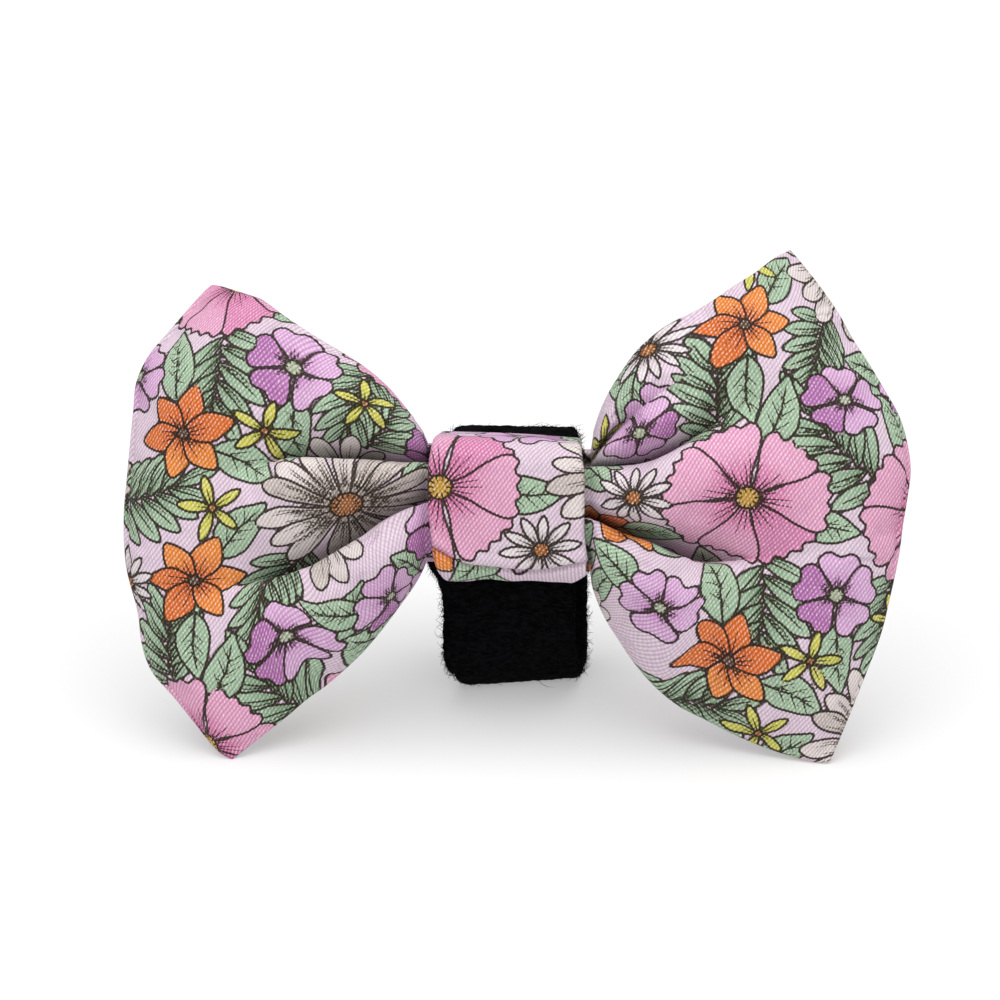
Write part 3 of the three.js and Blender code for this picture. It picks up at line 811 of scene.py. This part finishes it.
def puff_height(waist_depth, puff, along, across):
    swell = waist_depth + (puff - waist_depth) * smooth(along, 0, PUFF["full_by"])
    boxy = PUFF["waist_boxy"] + (PUFF["wing_boxy"] - PUFF["waist_boxy"]) * smooth(along, 0, PUFF["open_by"])
    crown = (1 - np.minimum(np.abs(across), 1) ** boxy) ** PUFF["edge_round"]
    return (EDGE + (swell - EDGE) * np.sqrt(1 - along ** PUFF["outer_round"])) * crown


def fold_line(fold, x):
    """The bottom of a fold, a little above the edge of the lobe below."""
    return through(fold["line"], x) + FOLD_FORM["bottom"] * through(fold["below"], x)


def folds_at(name, face, middle):
    """How deep a wing's folds are at points half way between its faces, and how much of that goes down behind
    the lobe below."""
    x, z = middle[..., 0], middle[..., 2]
    depth, tuck = np.zeros(x.shape), np.zeros(x.shape)
    wide, power = FOLD_FORM["soft"]
    for fold in FOLDS[name] if face == "front" else BACK_FOLDS:
        away = z - fold_line(fold, x)
        share = np.abs(away) / np.where(away < 0, through(fold["below"], x), through(fold["above"], x))
        full = np.maximum(through(fold["depth"], x), 0)
        flank = np.clip(share, 0, 1)
        crisp = 1 - np.sqrt(flank * (2 - flank))
        crisp += np.where(away > 0, fold["open"], 0) * ((1 - flank) ** FOLD_FORM["open"] - crisp)
        soft = np.exp(-(wide * share) ** power)
        part = full * (soft + (crisp - soft) * smooth(full, *FOLD_FORM["crisp"]))
        depth += part
        tuck += fold["tuck"] * part
    return depth, tuck


def across_rows(name, along):
    """Places across the wing for each column: rows that follow the folds and crowd along them."""
    samples = np.linspace(-1, 1, WING_GRID["samples"])
    middle = middle_surface(name, *np.meshgrid(along, samples))
    lines = [np.full(along.shape, -1.0)]
    for fold in FOLDS[name]:
        above = middle[..., 2] - fold_line(fold, middle[..., 0])
        lines.append(eased([np.interp(0, column, samples) for column in above.T], WING_GRID["even"]))
    lines.append(np.ones(along.shape))
    rows, lobes = [lines[0]], [np.zeros(along.shape)]
    for low, high, count in zip(lines, lines[1:], WING_GRID["lobes"][name]):
        for turns in np.arange(1, count + 1) / count:
            share = turns - WING_GRID["fold_crowd"] * math.sin(math.tau * turns) / math.tau
            rows.append(low + (high - low) * share)
            lobes.append(np.full(along.shape, share % 1))
    return np.array(rows), np.array(lobes)


def wing_face(name, face, along, across, lobe):
    """Points of one face of a wing; along past 1 goes round the outer edge."""
    row = WINGS[name]
    inner = np.minimum(along, 1)
    points = middle_surface(name, inner, across)
    x, z = points[..., 0], points[..., 2]
    front = face == "front"
    height = puff_height(WAIST[face], row[face + "_puff"], inner, across)
    depth, tuck = folds_at(name, face, points)
    calm = np.sqrt(1 - np.abs(across) ** 4) * np.clip((1 - inner) / CALM_EDGE, 0, 1)
    roll = through(LOBE_ROLL, inner) * (4 * lobe * (1 - lobe)) * calm if front else 0
    pace = row["side"] * (1 if front else BACK_RIPPLES)
    uneven = sum(r["height"] * np.sin(math.tau * (r["x"] * x * pace + r["z"] * z) + r["phase"])
                 for r in RIPPLES)
    out = height + roll + uneven * calm * smooth(inner, *CALM_WAIST) - depth
    rim = np.clip(along - 1, 0, 1) * math.pi / 2
    out = np.where(along > 1, height * np.cos(rim), out)
    points[..., 1] += -out if front else out
    points[..., 2] -= tuck
    outward = right_of(np.gradient(points[:, -1, [0, 2]], axis=0))[:, None]
    points[..., [0, 2]] += outward * (height * np.sin(rim))[..., None]
    way = np.array(row["blunt"]["way"])
    past = (points[..., [0, 2]] - np.array(row[row["blunt"]["tip"]])[[0, 2]]) @ way + row["blunt"]["cut"]
    points[..., [0, 2]] -= BLUNTNESS * np.maximum(past, 0)[..., None] * way
    points[..., 0] *= row["side"]
    return points


def sewn(rows, cols, flip):
    """The point numbers of a wing's front and back, which share the seam's, where the seam is, and the
    faces of the front, the back and the closed waist."""
    front = grid(rows, cols)
    seam = np.zeros(front.shape, bool)
    seam[[0, -1]] = seam[:, -1:] = True
    back = np.where(seam, front, front + front.size)
    waist = grid_quads(np.stack([front[:, 0], back[:, 0]]), flip)
    return front, back, seam, [grid_quads(front, flip), grid_quads(back, not flip), waist]


def make_wing(name, material):
    side, waist, rim, count = WINGS[name]["side"], WING_GRID["waist"], WING_GRID["rim"], WING_GRID["along"]
    inside = 1 - (1 - np.arange(count + 1) / count) ** WING_GRID["edge_crowd"]
    columns = np.concatenate([inside, 1 + np.arange(1, rim + 1) / rim])
    across, lobe = across_rows(name, np.minimum(columns, 1))
    along = np.broadcast_to(columns, across.shape)
    middle = middle_surface(name, np.minimum(along, 1), across)
    faces, free = {}, {}
    for face in FACES:
        points = wing_face(name, face, along, across, lobe)
        free[face] = 1 - smooth(folds_at(name, face, middle)[0], *CLOTH["folds"])
        root = np.repeat(points[:, :1], waist, 1)
        root[..., 0] = side * np.linspace(WING_GRID["middle"], WAIST["half_length"], waist, endpoint=False)
        faces[face] = np.concatenate([root, points], 1)
    blocks = flat_cloth(name, faces["front"], faces["back"], np.pad(columns, (waist, 0)))
    relax(name, faces, free)
    rows, cols = faces["front"].shape[:2]
    front, back, _, (*skins, cap) = sewn(rows, cols, side < 0)
    points = above_floor(np.concatenate([faces[face].reshape(-1, 3) for face in FACES]))
    used = np.unique([front, back])
    renumber = np.zeros(len(points), int)
    renumber[used] = np.arange(len(used))
    # the two ends of the waist meet the seam, so their faces have three corners
    cap = [cap[1:-1], *(np.array([list(dict.fromkeys(end))]) for end in (cap[0], cap[-1]))]
    piece = make_mesh("bow_" + name, points[used], [renumber[f] for f in (*skins, *cap)], material)
    # the same faces on the flat cloth, where the lobes lie apart
    *lobes, behind = np.split(grid(sum(map(len, blocks)), cols), np.cumsum([len(b) for b in blocks])[:-1])
    behind = behind[::-1]
    flat_of = np.concatenate([lobes[0], *(part[1:] for part in lobes[1:]), behind]).ravel()
    corners = [*(grid_quads(part, side < 0) for part in lobes), grid_quads(behind, side > 0)]
    corners += [flat_of[f] for f in cap]
    lay_print(piece, np.concatenate(blocks).reshape(-1, 2), np.concatenate([c.ravel() for c in corners]))
    return piece


def spread(picked, count):
    """The weights that carry values at picked rows of a grid smoothly to all its rows."""
    return np.stack([through(list(zip(picked, one)), np.arange(count)) for one in np.eye(len(picked))], 1)


def relax(name, faces, free):
    """Swells a wing as a sewn cloth under a little pressure: a coarse copy runs as a cloth simulation, held
    at the waist, the seams and the folds, and the wing's points follow it, as far as the cap lets them."""
    rows, cols = faces["front"].shape[:2]
    waist = WING_GRID["waist"]
    joins = np.cumsum([0, *WING_GRID["lobes"][name]])
    up = np.unique(np.concatenate([np.arange(0, rows, CLOTH["rows"]), joins]))
    up = np.array([u for u in up if u in joins or np.abs(joins - u).min() >= CLOTH["rows"] / 2])
    out = np.unique(np.append(np.arange(waist, cols - 1, CLOTH["columns"]), cols - 1))
    start = np.stack([faces[face][np.ix_(up, out)] for face in FACES])
    points = start.reshape(-1, 3)
    front, back, seam, (*skins, cap) = sewn(len(up), len(out), WINGS[name]["side"] < 0)
    mesh = bpy.data.meshes.new("sleeve")
    mesh.from_pydata((points / CLOTH["unit"]).tolist(), [], np.concatenate([*skins, cap[1:-1]]).tolist())
    coarse = link("sleeve", mesh)
    held = seam.copy()
    held[:, :2] = True
    for join, fold in zip(joins[1:-1], FOLDS[name]):
        row = up == join
        held[row] |= through(fold["depth"], np.abs(start[0, row, :, 0])) > CLOTH["hold_from"]
    pins = coarse.vertex_groups.new(name="held")
    pins.add(np.concatenate([front[held], back[:, :2].ravel()]).tolist(), 1.0, "REPLACE")
    cloth = coarse.modifiers.new("cloth", "CLOTH")
    for key, value in CLOTH_SETTINGS.items():
        setattr(cloth.settings, key, value)
    cloth.settings.effector_weights.gravity = 0
    cloth.point_cache.frame_end = CLOTH["frames"]
    for number in range(1, CLOTH["frames"] + 1):
        bpy.context.scene.frame_set(number)
    shaped = coarse.evaluated_get(bpy.context.evaluated_depsgraph_get()).data
    swollen = np.empty(len(shaped.vertices) * 3, np.float32)
    shaped.vertices.foreach_get("co", swollen)
    move = swollen.reshape(-1, 3).astype(float) * CLOTH["unit"] - points
    move[front.size:][seam.ravel()] = 0
    size = np.maximum(np.linalg.norm(move, axis=1, keepdims=True), TINY)
    move *= CLOTH["cap"] * np.tanh(size / CLOTH["cap"]) / size
    bpy.context.scene.frame_set(1)
    bpy.data.objects.remove(coarse)
    bpy.data.meshes.remove(mesh)
    rise, run = spread(up, rows), spread(out, cols)
    run[:waist + 1] = 0
    for face, moves in zip(FACES, move.reshape(start.shape)):
        share = np.pad(free[face], ((0, 0), (waist, 0)))
        faces[face] = faces[face] + share[..., None] * np.einsum("au,bv,uvk->abk", rise, run, moves)


def flat_lobe(points, middle, keep, even):
    """Where a lobe's points lie on the flat cloth: its middle row keeps its length, each column keeps its
    own, and keep is how much of the row's slope, evened out, there is in the cloth too."""
    path = points[middle]
    heading = unit(np.gradient(eased(path, even), axis=0))
    slope = np.arcsin(np.clip(heading[:, 2], -1, 1)) * keep
    c, s = np.cos(slope), np.sin(slope)
    way = np.stack([c, s], -1)
    spine = np.zeros(way.shape)
    spine[1:] = np.cumsum(steps(path)[:, None] * (way[1:] + way[:-1]) / 2, 0)
    step = np.diff(points, axis=0)
    along = (step * heading).sum(-1)
    up = np.sqrt(np.maximum((step * step).sum(-1) - along ** 2, 0))
    move = np.stack([along * c - up * s, along * s + up * c], -1)
    climb = np.concatenate([np.zeros((1, len(path), 2)), np.cumsum(move, 0)])
    return spine + climb - climb[middle]


def flat_cloth(name, front, back, along):
    """Where each row of points lies on the flat cloth: the front's lobes, which part at the folds and are one
    cloth past them, and then the back, from the top edge down."""
    outward = np.array([WINGS[name]["side"], 1, 1])
    keep = smooth(along, *FLAT["slope"])
    starts = np.cumsum([0, *WING_GRID["lobes"][name]])
    lobes = [flat_lobe(front[a:b + 1] * outward, (b - a) // 2, keep, FLAT["front"])
             for a, b in zip(starts, starts[1:])]
    joined = smooth(along, *FLAT["joined"])[:, None]

    def join(lobe, gap):
        level = gap[along > FLAT["joined"][1]].mean(0)
        lobe += level + joined * (gap - level)

    join(lobes[0], lobes[1][0] - lobes[0][-1])
    for below, lobe in zip(lobes[1:], lobes[2:]):
        join(lobe, below[-1] - lobe[0])
    behind = flat_lobe(back[::-1] * outward, len(back) // 2, keep, FLAT["back"])
    behind += (lobes[-1][-1] - behind[0]).mean(0)
    return [block * outward[:2] for block in (*lobes, behind)]


# The knot band

def tape_section(outside, inside, edge):
    """The outline of a tape's section, given by how many points it has outside, inside and round each edge:
    the place across, how far past it in radii of the edge, and the depth in half thicknesses."""
    angles = np.radians(np.linspace(90, -90, edge + 2)[1:-1])
    rows = [(s, 0, 0) for s in np.linspace(0, 1, outside)]
    rows += [(1, math.cos(a), math.sin(a) - 1) for a in angles]
    rows += [(s, 0, -2) for s in np.linspace(1, 0, inside)]
    rows += [(0, -math.cos(a), -math.sin(a) - 1) for a in angles]
    return np.array(rows, float).T


def band_outline(count):
    """The band's outline seen along the bow, from the middle of its back over the top, with its outward
    directions and the length run so far."""
    front, back, top, bottom = (KNOT[side] for side in ("front", "back", "top", "bottom"))
    wide, tight = KNOT_ROUND["front"], KNOT_ROUND["back"]

    def corner(y, z, radius, start):
        angle = np.radians(np.linspace(start, start + 90, KNOT_GRID["arc"]))
        return np.stack([y + radius * np.cos(angle), z + radius * np.sin(angle)], -1)

    share = np.linspace(1, -1, KNOT_GRID["face"])
    middle, half = (top + bottom) / 2, (top - bottom) / 2 - wide
    face = np.stack([front - KNOT_ROUND["crown"] * (1 - share ** 2), middle + share * half], -1)
    path = np.concatenate([[(back, middle)], corner(back - tight, top - tight, tight, 0),
                           corner(front + wide, top - wide, wide, 90), face,
                           corner(front + wide, bottom + wide, wide, 180),
                           corner(back - tight, bottom + tight, tight, 270), [(back, middle)]])
    run = run_along(path)
    at = np.linspace(0, run[-1], count, endpoint=False)
    points = np.stack([np.interp(at, run, values) for values in path.T], -1)
    return points, right_of(np.roll(points, -1, 0) - np.roll(points, 1, 0)), at


def make_knot(material):
    points, out, at = band_outline(KNOT_GRID["around"])
    y, z = points.T[..., None]
    front = smooth(-y, *KNOT_BACK["fades"])
    left = through(KNOT_SIDES["left"], z) * front - KNOT_BACK["half_width"] * (1 - front)
    right = through(KNOT_SIDES["right"], z) * front + KNOT_BACK["half_width"] * (1 - front)
    place, beyond, depth = tape_section(KNOT_GRID["across"], KNOT_GRID["inside"], KNOT_GRID["edge"])
    edge = KNOT_ROUND["edge"]
    x = left + edge + (right - left - 2 * edge) * place + edge * beyond
    across = 2 * place - 1
    # the cloth pulls tight in the middle, its edges stand off a little, and a soft lip turns under below
    above_lip = z - through(KNOT_LIP, x)
    lip = sum(deep * np.exp(-((above_lip - at_height) / wide) ** 2)
              for deep, at_height, wide in KNOT_RELIEF["lip"])
    waves = [c * across + u * z for c, u in zip(KNOT_PULLS["across"], KNOT_PULLS["up"])]
    pulls = KNOT_PULLS["height"] * np.sin(waves[0]) * np.cos(waves[1])
    relief = KNOT_RELIEF["edges"] * across ** 2 + front * (pulls - lip) - KNOT_RELIEF["tight"]
    height = depth * KNOT["thick"] / 2 + (1 + depth / 2) * relief
    ring = np.stack([x, y + out[:, :1] * height, z + out[:, 1:] * height], -1)
    ring[..., 2] += through(KNOT_WAVE, x) * smooth(z, *KNOT_WAVE_FROM)
    index = grid(*x.shape)
    piece = make_mesh("knot_cloth", ring.reshape(-1, 3), [grid_quads(wrapped(index, 1, 1), True)], material)
    length = at[-1] + at[1]
    flat = np.stack([x, np.broadcast_to((length / 2 - at)[:, None], x.shape)], -1)
    under = ((front > 0.5) & (above_lip < 0))[..., None]
    flat = np.where(under, turn(flat, KNOT_PRINT["turn"]) + KNOT_PRINT["strip"], flat + KNOT_PRINT["face"])
    flat = wrapped(flat, 1, 1)
    flat[-1] -= [0, length]
    lay_print(piece, flat.reshape(-1, 2), grid_quads(grid(*flat.shape[:2]), True).ravel())
    return piece, length


# The strap

def loop_curve():
    """The strap's middle line as a closed curve, with the length run so far."""
    points = np.array(LOOP, float)
    s = np.linspace(0, 1, LOOP_GRID["between"], endpoint=False)[:, None]
    path = []
    for i in range(len(points)):
        a, b, c, d = np.roll(points, 1 - i, 0)[:4]
        u, v, w = (math.sqrt(np.linalg.norm(q - p)) for p, q in ((a, b), (b, c), (c, d)))
        start = ((b - a) / u - (c - a) / (u + v) + (c - b) / v) * v
        end = ((c - b) / v - (d - b) / (v + w) + (d - c) / w) * v
        path.append(b + start * s + (3 * (c - b) - 2 * start - end) * s ** 2
                    + (start + end - 2 * (c - b)) * s ** 3)
    path = np.concatenate([*path, points[:1]])
    return path, run_along(path)


def loop_at(turns, outwards):
    """Places by the share of the loop's length and the distance outwards, and the way out there."""
    path, run = loop_curve()

    def at(share):
        return np.stack([np.interp(share % 1 * run[-1], run, values) for values in path.T], -1)

    out = right_of(at(turns + LOOP_GRID["slope"]) - at(turns - LOOP_GRID["slope"]))
    return at(turns) + out * outwards[:, None], out


def settle(ring):
    """The soft tape's own ways: corners that round off at the bottom and the top of the loop, a small twist
    at the bottom, and a bulge where the knot squeezes its left edge."""
    x, y, z = np.moveaxis(ring, -1, 0)
    ways = {"low": -z, "high": z, "left": -x, "right": x, "bulge_side": -x, "bulge_front": -y}
    share = {name: smooth(way, *SETTLE_SPANS[name]) for name, way in ways.items()}
    low, high, left, right = share["low"], share["high"], share["left"] ** 2, share["right"] ** 2
    bulge = through(SETTLE["bulge"], z) * share["bulge_side"] * share["bulge_front"]
    sink = SETTLE["sink"] + SETTLE["left"]["sink"] * left + SETTLE["right"]["sink"] * right
    y = y + SETTLE["twist"] * x * low
    z = z + SETTLE["tilt"] * x * low - high * sink
    x = x + high * (SETTLE["left"]["in"] * left - SETTLE["right"]["in"] * right) - bulge
    for side, radius in SETTLE["corners"]:
        beyond = np.maximum(side * x - STRAP["width"] / 2 + radius, 0)
        under = np.maximum(SETTLE["bottom"] + radius - z, 0)
        part = 1 - np.maximum(beyond, under) / np.maximum(np.hypot(beyond, under), TINY)
        part = np.where((beyond > 0) & (under > 0), part, 0)
        x, z = x - side * beyond * part, z + under * part
    return np.stack([x, y, z], -1)


def strip(name, start, end, size, lift, material, counts):
    """A flat tape along the loop, with round edges and an uneven pile. Gives the piece, its points, the ways
    that its pile stands and its length."""
    turns = np.linspace(start, end, counts["along"])
    centre, out = loop_at(turns, lift(turns))
    half, thick = size["width"] / 2, size["thick"] / 2
    edge = min(thick, TAPE["edge"])
    place, beyond, depth = tape_section(counts["across"], counts["across"], counts["edge"])
    x, off = (2 * place - 1) * (half - edge) + edge * beyond, thick * (1 + depth)
    rough = np.random.default_rng(TAPE["seed"]).normal(0, 1, (len(turns), len(x)))
    for axis in (0, 1):
        rough = (np.roll(rough, 1, axis) + 2 * rough + np.roll(rough, -1, axis)) / 4
    ends = np.minimum(turns - start, end - turns) / (end - start) * counts["along"] / TAPE["end"]
    round_end = np.sqrt(1 - (1 - np.clip(ends, 0, 1)) ** 2)[:, None]
    reach = off * (TAPE["end_thick"] + (1 - TAPE["end_thick"]) * round_end)
    reach = reach + size["rough"] * rough * np.sign(off) * round_end
    wander = sum(height * np.sin(turns * pace + phase) for height, pace, phase in TAPE["waves"]) - TAPE["in"]
    wide = x + TAPE["rough"] * rough * np.sign(x) * (np.abs(x) > half - TAPE["rough_from"])
    wide = wide + wander[:, None] * (np.abs(x) / half) ** 3
    ring = np.stack([wide, centre[:, :1] + out[:, :1] * reach, centre[:, 1:] + out[:, 1:] * reach], -1)
    ring = above_floor(settle(ring))
    ring[..., 0] += STRAP["skew"] * ring[..., 1] + STRAP["shift"]
    index = grid(*rough.shape)
    fold = len(x) // 2
    caps = [grid_quads(np.stack([row[:fold], row[::-1][:fold]]), row[0] > 0) for row in (index[0], index[-1])]
    piece = make_mesh(name, ring.reshape(-1, 3), [grid_quads(wrapped(index, 0, 1)), *caps], material)
    ways = np.sign(off)[:, None] * np.pad(out, ((0, 0), (1, 0)))[:, None]
    at_side = np.abs(x) > half - edge * FIBRES["side_from"]
    ways[..., 0] += np.where(at_side, np.sign(x), 0) * FIBRES["side_lean"]
    return piece, ring, ways, float(steps(centre).sum())


def make_strap(material):
    def lift(turns):
        return (STRAP["thick"] + PATCH["thick"] + 2 * GAP) * smooth(turns, STRAP["lap_starts"], 1)

    return strip("strap_tape", 0, 1 + STRAP["lap"], STRAP, lift, material, STRAP_GRID)


def make_patch(material):
    def lift(turns):
        return np.full(turns.shape, STRAP["thick"] / 2 + GAP + PATCH["thick"] / 2)

    return strip("hook_tape", PATCH["from"], PATCH["to"], PATCH, lift, material, PATCH_GRID)[0]


def make_fuzz(ring, ways, material):
    """Fine fibres that stand off the pile, as tapered threads of three bends."""
    draw = np.random.default_rng(FIBRES["seed"])
    rows, cols = ring.shape[:2]
    usual = FIBRES["count"]
    count = usual + STRAYS["count"]
    edges = np.flatnonzero(ways[0, :, 0])
    at_edge = draw.random(count) < FIBRES["at_edges"]
    places = np.where(at_edge, draw.choice(edges, count), draw.integers(0, cols, count))
    pick = draw.integers(0, rows, count), places
    root, way = ring[pick], unit(ways[pick])
    length = draw.uniform(*FIBRES["length"], (count, 1))
    length[usual:] = draw.uniform(*STRAYS["length"], (STRAYS["count"], 1))
    lie = draw.normal(0, 1, (count, 3))
    lie = unit(lie - way * (lie * way).sum(1, keepdims=True))
    curl = np.cross(way, lie) * draw.uniform(-FIBRES["curl"], FIBRES["curl"], (count, 1))
    rise = draw.uniform(*FIBRES["rise"], (count, 1))
    rise[usual:] = draw.uniform(*STRAYS["rise"], (STRAYS["count"], 1))
    share = np.array(FIBRES["bends"])[:, None, None]
    up, over = FIBRES["arch"]
    bend = way * rise * (share * (up - over * share)) + lie * share + curl * share ** 2
    path = root + length * bend - way * FIBRES["root"]
    around = np.arange(3)[:, None] * math.tau / 3
    normal = np.cross(lie, way)
    thick = FIBRES["radius"] * np.array(FIBRES["taper"])[:, None, None, None]
    tube = path[:, :, None] + thick * (np.cos(around) * way[:, None] + np.sin(around) * normal[:, None])
    points = above_floor(tube.transpose(1, 0, 2, 3).reshape(-1, 3))
    one = grid(len(share), len(around))
    first = np.arange(count)[:, None] * one.size
    quads = (first[..., None] + grid_quads(wrapped(one, 0, 1))).reshape(-1, 4)
    return make_mesh("strap_fuzz", points, [quads, first + one[-1], first + one[0, ::-1]], material)


# Stage

CAMERA = {"azimuth": 2.5, "elevation": 22, "distance": 500, "lens": 124.1, "sensor": 36, "near": 0.01,
          "aim": (-1.96, -12.3, 38.37)}
# Broad even lights: the way that each comes from, its strength and the angle that it fills
LIGHTS = [
    {"name": "top_light", "from": (0, -0.1, 1), "power": 2.75, "angle": 70},
    {"name": "left_light", "from": (-0.7, -1, 0.8), "power": 0.62, "angle": 50},
    {"name": "right_light", "from": (0.7, -1, 0.8), "power": 0.52, "angle": 50},
]
SKY = 0.34
WHITE = (1, 1, 1, 1)
FLOOR = {"half_side": 30, "colour": (0.53, 0.53, 0.53, 1), "glow": 0.32}


def make_camera():
    camera = link("camera", bpy.data.cameras.new("camera"))
    around, up = math.radians(CAMERA["azimuth"]), math.radians(CAMERA["elevation"])
    way = np.array([math.sin(around) * math.cos(up), -math.cos(around) * math.cos(up), math.sin(up)])
    camera.location = (np.array(CAMERA["aim"]) + way * CAMERA["distance"]) * MM
    camera.rotation_euler = (math.pi / 2 - up, 0, around)
    camera.data.lens = CAMERA["lens"]
    camera.data.sensor_width = CAMERA["sensor"]
    camera.data.clip_start = CAMERA["near"]
    bpy.context.scene.camera = camera


def make_stage():
    mesh = bpy.data.meshes.new("floor")
    corners = np.array([(-1, -1, 0), (1, -1, 0), (1, 1, 0), (-1, 1, 0)]) * FLOOR["half_side"]
    mesh.from_pydata(corners.tolist(), [], [(0, 1, 2, 3)])
    white = Shader("floor_white")
    white.set(Base_Color=FLOOR["colour"], Roughness=0.9, Specular_IOR_Level=0.1,
              Emission_Color=WHITE, Emission_Strength=FLOOR["glow"])
    mesh.materials.append(white.material)
    link("floor", mesh)
    for row in LIGHTS:
        light = link(row["name"], bpy.data.lights.new(row["name"], "SUN"))
        light.data.energy = row["power"]
        light.data.angle = math.radians(row["angle"])
        x, y, z = row["from"]
        light.location = row["from"]
        light.rotation_euler = (math.atan2(math.hypot(x, y), z), 0, math.atan2(y, x) + math.pi / 2)
    world = bpy.data.worlds.new("studio")
    world.use_nodes = True
    sky = world.node_tree.nodes["Background"].inputs
    sky["Color"].default_value = WHITE
    sky["Strength"].default_value = SKY
    bpy.context.scene.world = world
    bpy.context.scene.view_settings.view_transform = "Standard"


make_camera()
make_stage()

twill = twill_material("printed_twill", shade=0.81)
band_twill = twill_material("printed_twill_band", shade=0.78)
loop_tape = tape_material("loop_tape", colour=(0.001, 0.0009, 0.0011), scale=2400)
hook_tape = tape_material("hook_tape", colour=(0.004, 0.004, 0.0045), scale=3000)

for side in WINGS:
    wing = make_wing(side, twill)
    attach(wing, "root")
    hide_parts("bow")

knot, knot_length = make_knot(band_twill)
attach(knot, "root")
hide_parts("knot_band")

strap, strap_points, strap_ways, strap_length = make_strap(loop_tape)
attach(strap, "root")
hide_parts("strap")

fuzz = make_fuzz(strap_points, strap_ways, loop_tape)
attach(fuzz, "root")

patch = make_patch(hook_tape)
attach(patch, "root")
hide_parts("hook_patch")
